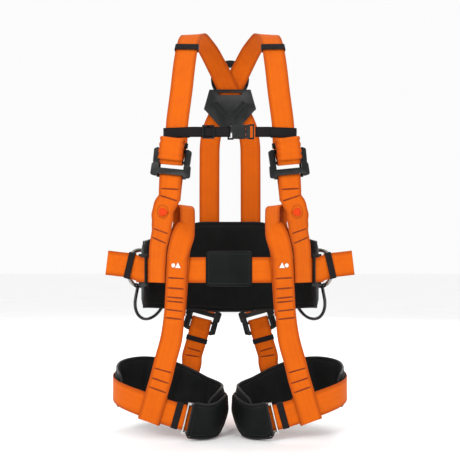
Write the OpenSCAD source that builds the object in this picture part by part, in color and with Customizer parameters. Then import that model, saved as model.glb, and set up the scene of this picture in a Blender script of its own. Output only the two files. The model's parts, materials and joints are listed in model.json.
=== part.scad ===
// Full-body safety harness with a positioning waist belt, padded back rest and padded leg loops.
// X is across the wearer (the wearer's left is +X), the chest faces -Y and Z is up.
// Lengths are in millimetres. Inside this file every place is measured from the centre line of
// the waist belt; the last step moves the whole harness so that the origin is the centre of the
// round opening of the dorsal D-ring.

/* [Webbing] */
// Width of the shoulder, back and leg webbing
webbing_w = 45; // [42:1:46]
// Width of the waist belt and of the leg bands
belt_w = 50; // [46:1:50]
// Thickness of the orange webbing
webbing_t = 2.4; // [1.8:0.1:2.4]
// Width of the chest strap
chest_w = 20; // [16:1:20]

/* [Body size] */
// Half of the waist's width at the pad's outer face
waist_a = 186; // [184:1:188]
// Half of the waist's depth at the pad's outer face
waist_b = 112; // [111:1:113]
// Height of the chest strap above the waist belt
chest_z = 268; // [264:1:272]

/* [Dorsal D-ring] */
// Radius of the round opening
ring_r = 28; // [26:0.5:29]
// Width of the ring's rim
ring_rim = 15; // [13:0.5:15]
// Thickness of the forging
ring_t = 10; // [8:0.5:10]
// Angle of the ring's hinge pins below the opening's centre, as a distance
ring_drop = 34; // [34:1:35]

/* [Side D-rings] */
// Diameter of the forged bar
side_bar = 9; // [7:0.5:9]
// Clear height inside the D
side_gap = 68; // [64:1:70]
// Reach of the D from its bar to the far side
side_reach = 62; // [56:1:64]

/* [Padding] */
// Thickness of the back pad and of the leg pads
pad_t = 11; // [8:1:12]

/* [Hidden] */
$fn = 48;
gap = 0.4;
lay = webbing_t + gap;
o_belt = gap + webbing_t / 2;
o_over = o_belt + lay;
o_top = o_over + lay;
dorsal = [0, 123, 430];

// ---- Directions and places -------------------------------------------------------------

function unit(v) = v / norm(v);
// The level direction that points away from the body: 0 is the chest, 90 the wearer's left.
function out(az) = [sin(az), -cos(az), 0];
// The level direction across a strap that faces out(az).
function across(az) = [cos(az), sin(az), 0];
// A place in the frame of a buckle: u across it, v up the strap, n out of its face.
function loc(c, az, tilt, u, v, n) =
    c + u * (cos(tilt) * across(az) + [0, 0, sin(tilt)])
    + v * ([0, 0, cos(tilt)] - sin(tilt) * across(az)) + n * out(az);
function flip(p) = [-p[0], p[1], p[2]];

// The waist is an ellipse; phi is 0 in front and 90 at the wearer's left.
function waist_xy(phi) = [waist_a * sin(phi), -waist_b * cos(phi), 0];
function waist_out(phi) = unit([sin(phi) / waist_a, -cos(phi) / waist_b, 0]);
function waist_az(phi) = let (n = waist_out(phi)) atan2(n[0], -n[1]);
function waist(phi, o, z) = waist_xy(phi) + o * waist_out(phi) + [0, 0, z];
function phi_front(x) = asin(x / waist_a);
function phi_back(x) = 180 - asin(x / waist_a);

// ---- Webbing ---------------------------------------------------------------------------

// A knot of a strap: its place, the way its outer face looks, and its width there.
function knot(p, n, w = webbing_w) = [p[0], p[1], p[2], n[0], n[1], n[2], w];
function catmull(a, b, c, d, t) =
    0.5 * (2 * b + (c - a) * t + (2 * a - 5 * b + 4 * c - d) * t * t
    + (3 * b - a - 3 * c + d) * t * t * t);
// A smooth run through the knots, with n steps between two of them.
function spline(k, n = 4) = [
    for (i = [0:len(k) - 2]) for (j = [0:n - 1])
        catmull(k[max(i - 1, 0)], k[i], k[i + 1], k[min(i + 2, len(k) - 1)], j / n),
    k[len(k) - 1]
];
// A turn of the strap round a bar at (v0, n0) of a buckle's frame, from its face to its back.
function turn(c, az, tilt, v0, n0, r, steps = 8, w = webbing_w) = [
    for (i = [0:steps]) let (a = 180 * i / steps)
        knot(loc(c, az, tilt, 0, v0 - r * sin(a), n0 + r * cos(a)),
            loc([0, 0, 0], az, tilt, 0, -sin(a), cos(a)), w)
];
function place_of(k) = [k[0], k[1], k[2]];
function face_of(k) = [k[3], k[4], k[5]];
function heading(k, i) =
    unit(place_of(k[min(i + 1, len(k) - 1)]) - place_of(k[max(i - 1, 0)]));
// The four corners of the strap's section at knot i.
function section(k, i, t) =
    let (d = heading(k, i), f = face_of(k[i]), n = unit(f - (f * d) * d), s = cross(d, n),
        p = place_of(k[i]), h = k[i][6] / 2)
    [p + h * s + t / 2 * n, p - h * s + t / 2 * n, p - h * s - t / 2 * n, p + h * s - t / 2 * n];
module ribbon(k, t = webbing_t) {
    m = len(k);
    points = [for (i = [0:m - 1]) each section(k, i, t)];
    sides = [for (i = [0:m - 2]) for (j = [0:3]) let (a = 4 * i + j, b = 4 * i + (j + 1) % 4)
        each [[a, b, b + 4], [a, b + 4, a + 4]]];
    caps = [[0, 2, 1], [0, 3, 2], [4 * m - 4, 4 * m - 3, 4 * m - 2], [4 * m - 4, 4 * m - 2, 4 * m - 1]];
    polyhedron(points, concat(sides, caps), convexity = 6);
}
// A flat sleeve round a strap: the section is a rectangular ring of the given wall.
module sleeve(k, t, wall) {
    m = len(k);
    inner = [for (q = k) [q[0], q[1], q[2], q[3], q[4], q[5], q[6] - 2 * wall]];
    points = [for (i = [0:m - 1]) each concat(section(k, i, t), section(inner, i, t - 2 * wall))];
    outside = [for (i = [0:m - 2]) for (j = [0:3]) let (a = 8 * i + j, b = 8 * i + (j + 1) % 4)
        each [[a, b, b + 8], [a, b + 8, a + 8]]];
    inside = [for (i = [0:m - 2]) for (j = [0:3])
        let (a = 8 * i + 4 + j, b = 8 * i + 4 + (j + 1) % 4)
        each [[a, b + 8, b], [a, a + 8, b + 8]]];
    ends = [for (j = [0:3]) let (a = j, b = (j + 1) % 4, e = 8 * m - 8)
        each [[a, a + 4, b], [b, a + 4, b + 4], [e + a, e + b, e + a + 4], [e + b, e + b + 4, e + a + 4]]];
    polyhedron(points, concat(outside, inside, ends), convexity = 6);
}
// Moves a part that is drawn flat, with X across and Z along the strap, on to the strap.
module place(c, az, tilt = 0) {
    translate(c) rotate([0, 0, az]) rotate([0, -tilt, 0]) children();
}
module left() {
    translate(-dorsal) children();
}
module right() {
    translate(-dorsal) mirror([1, 0, 0]) children();
}

// ---- Shoulder straps, from the shoulder buckle over the back to the leg buckle ------------

sb = [113, -113, 206];
sb_az = 12;
sb_tilt = 7;
lb_phi = phi_back(60);
lb = waist(lb_phi, 15.6, -111);
lb_az = 174;
lb_tilt = -16;
bar_v = 3;
bar_n = 2;
bar_r = 3;
turn_r = bar_r + gap + webbing_t / 2 + 0.2;

// side is +1 for the strap that crosses on the outside and -1 for the inner one.
function shoulder_path(side) = let (
    h = 2.1 * side,
    tail = [
        knot(loc(sb, sb_az, sb_tilt, 0, 6, 13.5), out(sb_az)),
        knot(loc(sb, sb_az, sb_tilt, 0, 20, 15.5), out(sb_az)),
        knot(loc(sb, sb_az, sb_tilt, 0, 38, 15), out(sb_az))
    ],
    fold = [
        for (a = [0:30:180])
            knot(loc(sb, sb_az, sb_tilt, 0, 44 + 3.4 * sin(a), 11.2 + 3.4 * cos(a)),
                loc([0, 0, 0], sb_az, sb_tilt, 0, sin(a), cos(a)))
    ],
    up = [
        knot(loc(sb, sb_az, sb_tilt, 0, 30, 7.8), -out(sb_az)),
        knot(loc(sb, sb_az, sb_tilt, 0, 14, 6.9), -out(sb_az))
    ],
    bar = [for (k = turn(sb, sb_az, sb_tilt, bar_v, bar_n, turn_r))
        knot(place_of(k), -face_of(k))],
    chest = spline([
        knot(loc(sb, sb_az, sb_tilt, 0, 9, -3.0), out(sb_az)),
        knot(loc(sb, sb_az, sb_tilt, 0, 17, -6.2), out(sb_az)),
        knot(loc(sb, sb_az, sb_tilt, 0, 25, -11.0), out(sb_az)),
        knot(loc(sb, sb_az, sb_tilt, 0, 33, -12.6), out(sb_az)),
        knot(loc(sb, sb_az, sb_tilt, 0, 46, -12.6), out(sb_az)),
        knot([103, -101, 290], out(10)),
        knot([96, -93, 350], unit(out(8) + [0, 0, 0.14])),
        knot([91, -79, 405], unit(out(6) + [0, 0, 0.3])),
        knot([86, -58, 450], unit(out(6) + [0, 0, 0.6])),
        knot([80, -30, 480], unit(out(4) + [0, 0, 1.6])),
        knot([71, 2, 491], [0.05, 0.1, 1]),
        knot([59, 32, 488], unit([-0.1, 0.35, 1])),
        knot([45, 60, 474], unit([-0.15, 0.8, 0.9])),
        knot([30, 84 + h, 451], unit([-0.15, 1, 0.6])),
        knot([14, 99 + h, 423], unit([-0.05, 1, 0.3])),
        knot([-1, 106 + h, 392], [0, 1, 0.1]),
        knot([-20, 108.2 + h, 357], [0, 1, 0]),
        knot([-38, 109 + h, 318], [0, 1, 0]),
        knot([-45, 110, 282], [0, 1, 0]),
        knot([-46, 110.3, 240], [0, 1, 0]),
        knot(flip(waist(phi_back(46), o_belt, 170)), [0, 1, 0]),
        knot(flip(waist(phi_back(46), o_belt, 90)), flip(out(170))),
        knot(flip(waist(phi_back(46), o_belt + 0.8, 42)), flip(out(170))),
        knot(flip(waist(phi_back(46), o_over, 28)), flip(out(170))),
        knot(flip(waist(phi_back(46), o_over, 0)), flip(out(170))),
        knot(flip(waist(phi_back(46), o_over, -28)), flip(out(170))),
        knot(flip(loc(lb, lb_az, lb_tilt, 0, 46, -6.4)), flip(out(lb_az))),
        knot(flip(loc(lb, lb_az, lb_tilt, 0, 33, -3.2)), flip(out(lb_az)))
    ]),
    lower = [
        for (i = [0:8]) let (a = 180 * i / 8)
            knot(flip(loc(lb, lb_az, lb_tilt, 0, -frame_bar_v - loop_r * sin(a), frame_n + loop_r * cos(a))),
                flip(loc([0, 0, 0], lb_az, lb_tilt, 0, -sin(a), cos(a))))
    ],
    end = [
        knot(flip(loc(lb, lb_az, lb_tilt, 0, 35, -11.4)), -flip(out(lb_az))),
        knot(flip(loc(lb, lb_az, lb_tilt, 0, 50, -11.4)), -flip(out(lb_az)))
    ])
    concat(tail, fold, up, bar, chest, lower, end);
module shoulder_strap(side) {
    color("darkorange") ribbon(shoulder_path(side));
}
module shoulder_strap_left() { left() shoulder_strap(1); }
module shoulder_strap_right() { right() shoulder_strap(-1); }

// ---- Mating buckles: a bar plate in front, locked over a frame behind ----------------------

frame_n = -6.8;
frame_bar_v = -25;
module buckle_bar() {
    // A plate with four lobed corners, a window, and the round bar that the strap turns round.
    rotate([90, 0, 0]) difference() {
        linear_extrude(4) {
            translate([-28, 22]) square([56, 6]);
            translate([-28, -21]) square([56, 11.5]);
            for (s = [-1, 1]) {
                // An upper and a lower lobe, with a waist between them.
                hull() {
                    for (q = [[30, 25], [33.5, 23.5], [33, 3], [29.5, 3]])
                        translate([s * q[0], q[1]]) circle(4.4);
                }
                hull() {
                    for (q = [[30, -3], [35, -5], [35.6, -21], [30, -22]])
                        translate([s * q[0], q[1]]) circle(4.4);
                }
                translate([s * 31.5 - 5.5, -6]) square([11, 12]);
            }
        }
    }
    translate([-26, -bar_n, bar_v]) rotate([0, 90, 0]) cylinder(r = bar_r, h = 52);
}
module buckle_frame() {
    // The frame behind: two side rails, a flat top bar and a round bottom bar.
    rails = [24.2, 29.2];
    for (s = [-1, 1]) {
        translate([s > 0 ? rails[0] : -rails[1], 5.3, frame_bar_v])
            cube([rails[1] - rails[0], 3, 30 - frame_bar_v]);
    }
    translate([-rails[1], 5.3, 25]) cube([2 * rails[1], 3, 5]);
    translate([-rails[1], -frame_n, frame_bar_v]) rotate([0, 90, 0]) cylinder(r = 2.5, h = 2 * rails[1]);
}
// The leg buckles hang the other way up: their frame is on the strap from the back.
module turned_over() {
    place(lb, lb_az, lb_tilt) rotate([0, 180, 0]) children();
}
module shoulder_buckle_bar_left() { color("#222423") left() place(sb, sb_az, sb_tilt) buckle_bar(); }
module shoulder_buckle_bar_right() { color("#222423") right() place(sb, sb_az, sb_tilt) buckle_bar(); }
module shoulder_buckle_frame_left() { color("#333635") left() place(sb, sb_az, sb_tilt) buckle_frame(); }
module shoulder_buckle_frame_right() { color("#333635") right() place(sb, sb_az, sb_tilt) buckle_frame(); }
module leg_buckle_bar_left() { color("#222423") left() turned_over() buckle_bar(); }
module leg_buckle_bar_right() { color("#222423") right() turned_over() buckle_bar(); }
module leg_buckle_frame_left() { color("#333635") left() turned_over() buckle_frame(); }
module leg_buckle_frame_right() { color("#333635") right() turned_over() buckle_frame(); }

// ---- Front straps, from the shoulder buckle down to the belt -------------------------------

loop_r = 2.5 + gap + webbing_t / 2 + 0.2;
// The strap comes down behind, turns under the frame's bottom bar and goes down in front of it.
function lower_loop(c, az, tilt) = [
    for (i = [0:8]) let (a = 180 - 180 * i / 8)
        knot(loc(c, az, tilt, 0, frame_bar_v + loop_r * sin(a), frame_n + loop_r * cos(a)),
            loc([0, 0, 0], az, tilt, 0, sin(a), cos(a)))
];
function front_path() = concat(
    spline([
        knot(loc(sb, sb_az + 2, sb_tilt, 0, -70, -11.0), -out(sb_az)),
        knot(loc(sb, sb_az, sb_tilt, 0, -52, -11.4), -out(sb_az)),
        knot(loc(sb, sb_az, sb_tilt, 0, -34, -11.3), -out(sb_az))
    ]),
    lower_loop(sb, sb_az, sb_tilt),
    spline([
        knot(loc(sb, sb_az, sb_tilt, 0, -33, -3.2), out(sb_az)),
        knot(loc(sb, sb_az, sb_tilt, 0, -46, -6.4), out(sb_az)),
        knot(loc(sb, sb_az + 2, sb_tilt, 0, -66, -7.4), out(sb_az + 2)),
        knot([129, -103, 122], out(22)),
        knot([133, -97, 100], out(25)),
        knot([136, -88, 76], out(28)),
        knot(waist(phi_front(139.5), o_over + 0.3, 48), out(32)),
        knot(waist(phi_front(141.5), o_over, 26), waist_out(phi_front(141.5))),
        knot(waist(phi_front(143), o_over, 0), waist_out(phi_front(143))),
        knot(waist(phi_front(143.5), o_over, -25), waist_out(phi_front(143.5)))
    ])
);
module front_strap() { color("orange") ribbon(front_path()); }
module front_strap_left() { left() front_strap(); }
module front_strap_right() { right() front_strap(); }

// ---- Leg loops -------------------------------------------------------------------------------

// The centre line of the left leg band, from the outer side by the front to the inside and back.
leg_knots = [
    [243, -5, -243], [222, -60, -250], [165, -92, -266], [95, -100, -287],
    [42, -85, -297], [11, -32, -282], [14, 28, -284], [58, 84, -280],
    [122, 106, -262], [190, 90, -244], [234, 44, -239]
];
function leg_at(s) = let (n = len(leg_knots), i = floor(s), t = s - i)
    catmull(leg_knots[(i + n - 1) % n], leg_knots[(i + n) % n], leg_knots[(i + n + 1) % n],
        leg_knots[(i + n + 2) % n], t);
function leg_dir(s) = unit(leg_at(s + 0.02) - leg_at(s - 0.02));
function leg_out(s) = let (d = leg_dir(s)) unit([-d[1], d[0], 0]);
function leg_up(s) = let (u = cross(leg_out(s), leg_dir(s))) u[2] > 0 ? u : -u;
function leg_knot(s, o, v, w) = knot(leg_at(s) + o * leg_out(s) + v * leg_up(s), leg_out(s), w);
module leg_band() {
    color("orange") ribbon([for (s = [3.46:0.14:14.38]) leg_knot(s, 0, 0, belt_w)]);
}
module leg_band_left() { left() leg_band(); }
module leg_band_right() { right() leg_band(); }

// How far the pad stands above and below the band, from the groin round the back to the front.
function pad_rise(s) = s < 6 ? 10 + 8 * (s - 4.2) / 1.8
    : s < 8.5 ? 18 + 12 * (s - 6) / 2.5 : 30 - 22 * (s - 8.5) / 3.4;
function pad_fall(s) = s < 8 ? 8 + 18 * (s - 4.2) / 3.8 : 26 - 20 * (s - 8) / 3.9;
module leg_pad() {
    color("#23272a") ribbon([
        for (i = [0:44]) let (s = 4.2 + 7.7 * i / 44, r = pad_rise(s), f = pad_fall(s))
            leg_knot(s, -pad_t / 2 - webbing_t / 2 - 2 * gap, (r - f) / 2, belt_w + r + f)
    ], pad_t);
}
module leg_pad_left() { left() leg_pad(); }
module leg_pad_right() { right() leg_pad(); }
module leg_flap() {
    color("#2a2f31") ribbon([
        for (i = [0:14]) let (q = i / 14, s = 3.27 + 1.68 * q)
            leg_knot(s, 12.4 - 5.2 * q, 0, 68 - 8 * q)
    ], 6);
}
module leg_flap_left() { left() leg_flap(); }
module leg_flap_right() { right() leg_flap(); }

// ---- Risers between the belt, the leg buckles and the leg bands ------------------------------

wrap_r = webbing_t + gap;
wrap_in = wrap_r + 2.8;
wrap_mid = (wrap_r - wrap_in) / 2;
wrap_turn = (wrap_r + wrap_in) / 2;
function on_band(s, o, v, n) = knot(leg_at(s) + o * leg_out(s) + v * leg_up(s), n);
// The lower end of the front riser: down outside the band, round its bottom edge and up inside.
function wrap(s) = concat(
    [for (v = [34, 14, -10]) on_band(s, wrap_r, v, leg_out(s))],
    [for (i = [0:8]) let (a = 180 * i / 8, c = cos(a), q = sin(a))
        on_band(s, wrap_mid + wrap_turn * c, -belt_w / 2 - gap - wrap_turn * q,
            c * leg_out(s) - q * leg_up(s))],
    [for (v = [-10, 26]) on_band(s, -wrap_in, v, -leg_out(s))]
);
// The front riser starts behind itself under the belt, stands up as the attachment loop, comes
// down over the belt and goes to the leg band.
loop_c = [90.6, -87.2, 0];
loop_az = -55;
loop_half = 9;
function front_riser_path() = concat(
    spline([
        knot(waist(phi_front(106), o_over, -88), waist_out(phi_front(106))),
        knot(waist(phi_front(103), o_over, -50), waist_out(phi_front(103))),
        knot(waist(phi_front(100), o_over, 0), waist_out(phi_front(100))),
        knot(waist(phi_front(98), o_over + 0.7, 28), waist_out(phi_front(98))),
        knot(loop_c - (loop_half - 3) * out(2) + [6, 0, 58], out(2)),
        knot(loop_c - loop_half * out(loop_az) + [0, 0, 92], out(loop_az))
    ]),
    [for (i = [0:8]) let (a = 180 * i / 8)
        knot(loop_c - loop_half * cos(a) * out(loop_az) + [0, 0, 118 + loop_half * sin(a)],
            -cos(a) * -out(loop_az) * 1 + [0, 0, -sin(a)])],
    spline([
        knot(loop_c + loop_half * out(loop_az) + [0, 0, 92], -out(loop_az)),
        knot(loop_c + (loop_half + 1) * out(2) + [4, 0, 58], -out(2)),
        knot(waist(phi_front(99), o_top + 1.8, 30), -waist_out(phi_front(99))),
        knot(waist(phi_front(101), o_top, 10), -waist_out(phi_front(101))),
        knot(waist(phi_front(104), o_top, -50), -waist_out(phi_front(104))),
        knot(waist(phi_front(107), o_top, -92), -waist_out(phi_front(107))),
        knot([115, -102, -135], -out(14)),
        knot([127, -102, -180], -out(14)),
        knot(leg_at(2.2) + wrap_r * leg_out(2.2) + 62 * leg_up(2.2), -leg_out(2.2)),
        knot(leg_at(2.2) + wrap_r * leg_out(2.2) + 38 * leg_up(2.2), -leg_out(2.2))
    ]),
    [for (k = wrap(2.2)) knot(place_of(k), -face_of(k))]
);
module front_riser() { color("orange") ribbon(front_riser_path()); }
module front_riser_left() { left() front_riser(); }
module front_riser_right() { right() front_riser(); }

rr_s = 7.72;
function rear_riser_path() = concat(
    [
        knot(loc(lb, lb_az, lb_tilt, 0, -34, 6.7), -out(lb_az)),
        knot(loc(lb, lb_az, lb_tilt, 0, -12, 6.9), -out(lb_az))
    ],
    [for (i = [0:8]) let (a = 180 * i / 8)
        knot(loc(lb, lb_az, lb_tilt, 0, -bar_v + turn_r * sin(a), bar_n + turn_r * cos(a)),
            -loc([0, 0, 0], lb_az, lb_tilt, 0, sin(a), cos(a)))],
    spline([
        knot(loc(lb, lb_az, lb_tilt, 0, -9, -3.0), out(lb_az)),
        knot(loc(lb, lb_az, lb_tilt, 0, -17, -6.2), out(lb_az)),
        knot(loc(lb, lb_az, lb_tilt, 0, -25, -10.9), out(lb_az)),
        knot(loc(lb, lb_az, lb_tilt, 0, -33, -12.2), out(lb_az)),
        knot(loc(lb, lb_az, lb_tilt, 0, -46, -12.2), out(lb_az)),
        knot(loc(lb, lb_az, lb_tilt, 0, -60, -12.2), out(lb_az)),
        knot(loc(lb, lb_az, lb_tilt, 0, -84, -11.2), out(lb_az)),
        knot(leg_at(rr_s) + (wrap_r + 2) * leg_out(rr_s) + 60 * leg_up(rr_s), leg_out(rr_s)),
        knot(leg_at(rr_s) + wrap_r * leg_out(rr_s) + 44 * leg_up(rr_s), leg_out(rr_s))
    ], 3),
    [for (v = [30, 10, -24]) on_band(rr_s, wrap_r, v, leg_out(rr_s))]
);
module rear_riser() { color("orange") ribbon(rear_riser_path()); }
module rear_riser_left() { left() rear_riser(); }
module rear_riser_right() { right() rear_riser(); }

// ---- Waist belt ------------------------------------------------------------------------------

ring_phi = 118;
adj_phi = 67;
adj_o = 6.4;
adj_az = waist_az(adj_phi);
adj_u = 12;
adj_c = waist(adj_phi, adj_o, 0);
// The belt lifts over the bar of each side D-ring.
function belt_lift(phi) = let (q = (phi > 180 ? 360 - phi : phi) - ring_phi)
    (side_bar + 1.2) * exp(-q * q / 46);
function belt_knot(phi, z = 0) =
    knot(waist(phi, o_belt + belt_lift(phi), z), waist_out(phi), belt_w);
// One end of the rear belt, turned back round the rear bar of the adjuster, at +X.
function belt_end(steps = 8) = [
    for (i = [0:steps]) let (a = 180 * i / steps, r = 3 + gap + webbing_t / 2)
        knot(adj_c + (adj_u - r * sin(a)) * across(adj_az) + r * cos(a) * out(adj_az),
            cos(a) * out(adj_az) - sin(a) * across(adj_az), belt_w)
];
function flip_knot(k) = [-k[0], k[1], k[2], -k[3], k[4], k[5], k[6]];
function reverse(k) = [for (i = [len(k) - 1:-1:0]) k[i]];
function inward(k) = [k[0], k[1], k[2], -k[3], -k[4], -k[5], k[6]];
back_end = concat(
    [for (f = [88, 84, 80]) knot(waist(f, o_over + (88 - f) * 0.35, 0), waist_out(f), belt_w)],
    [knot(adj_c + (adj_u + 6) * across(adj_az) + 4.7 * out(adj_az), out(adj_az), belt_w)],
    belt_end()
);
belt_half = [for (i = [0:34]) belt_knot(78 + 3 * i)];
module waist_belt_rear() {
    half = concat(back_end, [for (k = belt_half) inward(k)]);
    color("orange") left() ribbon(concat(half, reverse([for (k = half) inward(flip_knot(inward(k)))])));
}
tail_half = spline([
    knot(waist(0, o_belt, 0), waist_out(0), belt_w),
    knot(waist(12, o_belt, 0), waist_out(12), belt_w),
    knot(waist(24, o_belt, 0), waist_out(24), belt_w),
    knot(waist(36, o_belt, 0), waist_out(36), belt_w),
    knot(waist(48, o_belt, 0), waist_out(48), belt_w),
    knot(waist(57, o_belt, 0), waist_out(57), belt_w),
    knot(adj_c - 12 * across(adj_az) - 5.2 * out(adj_az), out(adj_az), belt_w),
    knot(adj_c - 1 * across(adj_az) + 2.2 * out(adj_az) + [0, 0, 0.5], out(adj_az - 24), belt_w),
    knot(adj_c + 8 * across(adj_az) + 8.6 * out(adj_az) + [0, 0, 3], out(adj_az - 26), belt_w),
    knot([202, -43, 9], out(12), belt_w),
    knot([226, -40, 12], out(-4), belt_w),
    knot([251, -41, 15], out(-8), belt_w)
], 3);
module waist_belt_front() {
    rest = [for (i = [1:len(tail_half) - 1]) tail_half[i]];
    color("darkorange") left() ribbon(concat(reverse([for (k = rest) flip_knot(k)]), tail_half));
}
module belt_sleeve() {
    color("#1d1f20") left() sleeve([for (x = [-46:8:42]) knot(waist(phi_front(x), o_belt, 2.5),
        waist_out(phi_front(x)), 69)], webbing_t + 2 * gap + 3.2, 1.6);
}
module waist_adjuster() {
    // A steel slide adjuster: two round bars between two end rails.
    color("#8d908c") place(adj_c, adj_az) {
        for (u = [-adj_u, adj_u]) {
            translate([u, 0, -31]) cylinder(r = 3, h = 62);
        }
        for (z = [-33, 27]) {
            translate([-adj_u - 4, -2, z]) cube([2 * adj_u + 8, 4, 6]);
        }
    }
}
module waist_adjuster_left() { left() waist_adjuster(); }
module waist_adjuster_right() { right() waist_adjuster(); }

// ---- Back pad --------------------------------------------------------------------------------

function pad_top(x) = x < 60 ? 106 : 106 - 46 * (x - 60) / 125;
function pad_foot(x) = -92 + 14 * (x / 186) * (x / 186);
// How much a corner of radius r takes off the edge, so many steps from the end.
function round_off(step, r) = let (d = max(0, r - 5.4 * step)) r - sqrt(max(0, r * r - 0.98 * d * d));
module lumbar_pad() {
    color("#2c3231") left() ribbon([
        for (i = [-48:48]) let (phi = 180 + i * 2.15, x = abs(waist_xy(phi)[0]),
            t = min(pad_top(x), abs(phi - 180) > 90 ? 60 : 999) - round_off(48 - abs(i), 28),
            b = pad_foot(x) + round_off(48 - abs(i), 28))
            knot(waist(phi, -pad_t / 2 - 0.1, (t + b) / 2), waist_out(phi), t - b)
    ], pad_t);
}

// ---- Dorsal plate and D-ring -----------------------------------------------------------------

axis_z = dorsal[2] - ring_drop;
pin_r = 4;
module upright(y0, y1) {
    // Turns an outline drawn in X and Z into a slab between y0 and y1.
    translate([0, y1, 0]) rotate([90, 0, 0]) linear_extrude(y1 - y0) children();
}
module dorsal_plate() {
    y_in = 97;
    y_out = 112.6;
    color("#2e3230") left() {
        difference() {
            upright(y_in, y_in + 3)
                polygon([[-46, 402], [46, 402], [58, 359], [13, 308], [-13, 308], [-58, 359]]);
            upright(y_in - 1, y_in + 4) translate([-26, 390]) square([52, 5]);
            // Grooves beside the ribs of the inner face.
            upright(y_in - 1, y_in + 1.8) {
                for (s = [-1, 1]) {
                    polygon([[s * 40, 372], [s * 44, 367], [s * 14, 333], [s * 10, 338]]);
                    polygon([[s * 29, 376], [s * 33, 371], [s * 10, 345], [s * 6, 350]]);
                }
            }
            for (z = [398, 322]) {
                translate([0, y_in - 1, z]) rotate([-90, 0, 0]) cylinder(r = 2, h = 5);
            }
        }
        upright(y_in, y_out + 3.2) polygon([[-5, 330], [5, 330], [12, 308], [-12, 308]]);
        for (s = [-1, 1]) {
            upright(y_in, y_out + 3.2)
                polygon([[s * 34.5, 402], [s * 45, 402], [s * 58, 360], [s * 51, 356.5]]);
            upright(y_out, y_out + 3.2)
                polygon([[s * 45, 364], [s * 54, 366], [s * 54, 358], [s * 12, 310], [s * 5, 321]]);
            difference() {
                union() {
                    translate([s > 0 ? 36.2 : -43.2, dorsal[1], axis_z])
                        rotate([0, 90, 0]) cylinder(r = 8.5, h = 7);
                    translate([s > 0 ? 36.2 : -43.2, y_in, axis_z - 8.5])
                        cube([7, dorsal[1] - y_in, 14.5]);
                }
                translate([s > 0 ? 35 : -45, dorsal[1], axis_z])
                    rotate([0, 90, 0]) cylinder(r = pin_r + 0.06, h = 10);
            }
        }
    }
}
module dorsal_d_ring() {
    rim = ring_r + ring_rim;
    color("#1e201f") translate([0, 0, 0]) {
        difference() {
            upright(-ring_t / 2, ring_t / 2) {
                circle(rim);
                polygon([[-41.5, -8], [41.5, -8], [33.5, -24], [33.5, -41.5], [-33.5, -41.5], [-33.5, -24]]);
            }
            rotate([90, 0, 0]) cylinder(r = ring_r, h = ring_t + 2, center = true);
            for (s = [-1, 1]) {
                translate([s > 0 ? 33.5 : -33.5 - 20, -ring_t, -rim - 6]) cube([20, 2 * ring_t, rim - 18]);
            }
            translate([-rim, -ring_t, -rim - 10]) cube([2 * rim, 2 * ring_t, rim + 10 - 41.5]);
        }
        translate([-44, 0, -ring_drop]) rotate([0, 90, 0]) cylinder(r = pin_r, h = 88);
    }
}

// ---- Chest strap -----------------------------------------------------------------------------

chest_y = -111.6;
chest_t = 1.6;
chest_turn = chest_t / 2 + webbing_t / 2 + 0.7;
cs = [105.2, -101.4, chest_z];
cs_az = 11;
function chest_at(u, n) = cs + u * across(cs_az) + n * out(cs_az);
// The strap's loop round the shoulder strap: outside, round the outer edge, and back inside it.
function chest_round() = concat(
    [for (u = [-16, 0, 22.5]) knot(chest_at(u, chest_turn), out(cs_az), chest_w)],
    [for (i = [1:6]) let (a = 180 * i / 6)
        knot(chest_at(22.8 + chest_turn * sin(a), chest_turn * cos(a)),
            cos(a) * out(cs_az) + sin(a) * across(cs_az), chest_w)],
    [knot(chest_at(0, -chest_turn), -out(cs_az), chest_w),
        knot(chest_at(-26, -chest_turn), -out(cs_az), chest_w)]
);
function chest_straight(x0, x1) = [
    for (i = [0:4]) knot([x0 + (x1 - x0) * i / 4, chest_y, chest_z], [0, -1, 0], chest_w)
];
module chest_loop_left() {
    color("#1b1c1d") left() ribbon(concat([knot([81, -110.2, chest_z], [0.02, -1, 0], chest_w)],
        chest_round()), chest_t);
}
module chest_strap_left() {
    color("#242627") left() ribbon(chest_straight(49, 78), chest_t);
}
module chest_strap_right() {
    color("#1b1c1d") right() ribbon(concat(chest_straight(-1, 76), chest_round()), chest_t);
}
module chest_slide() {
    // A three-bar slide: two bars in front of the strap and one behind it.
    color("#202223") translate([-42, chest_y, chest_z] - dorsal) {
        for (z = [-12.8, 10.6]) {
            translate([-12, -4, z]) cube([24, 7.6, 2.2]);
        }
        for (x = [-12, 8]) {
            translate([x, -4, -12.8]) cube([4, 2.6, 25.6]);
        }
        translate([-2.5, 1.4, -12.8]) cube([5, 2.2, 25.6]);
    }
}
module chest_socket() {
    // The female half, open at its mouth and along its two sides, with its strap bar at the left.
    color("#202223") translate([0, chest_y - 1, chest_z] - dorsal) {
        translate([6, -5.5, -13]) cube([24, 2, 26]);
        translate([6, 3.5, -13]) cube([24, 2, 26]);
        translate([4, -5.5, -13]) cube([4.5, 11, 26]);
        for (z = [-15, 12]) {
            translate([-5, -2, z]) cube([11, 6, 3]);
        }
        translate([4, -2, -15]) cube([3, 4, 30]);
        translate([-5, 2.4, -15]) cube([3.5, 1.6, 30]);
    }
}
module chest_plug() {
    // The male half: a centre guide and two springy prongs on a body with the strap bar.
    color("#2a2c2d") translate([0, chest_y - 1, chest_z] - dorsal) {
        translate([12, -2.4, -3]) cube([22, 4.8, 6]);
        for (s = [-1, 1]) {
            translate([14, -2.4, s > 0 ? 8 : -11]) cube([20, 4.8, 3]);
            translate([16, -2.4, s > 0 ? 10.5 : -14]) cube([9, 4.8, 3.5]);
        }
        translate([31, -4.5, -13]) cube([8, 9, 26]);
        for (z = [-14.5, 11.8]) {
            translate([36, -2, z]) cube([11, 4, 2.7]);
        }
        translate([44, -3.4, -14.5]) cube([3, 2, 29]);
    }
}

// ---- Keepers: flat bands that hold the webbing ------------------------------------------------

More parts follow.
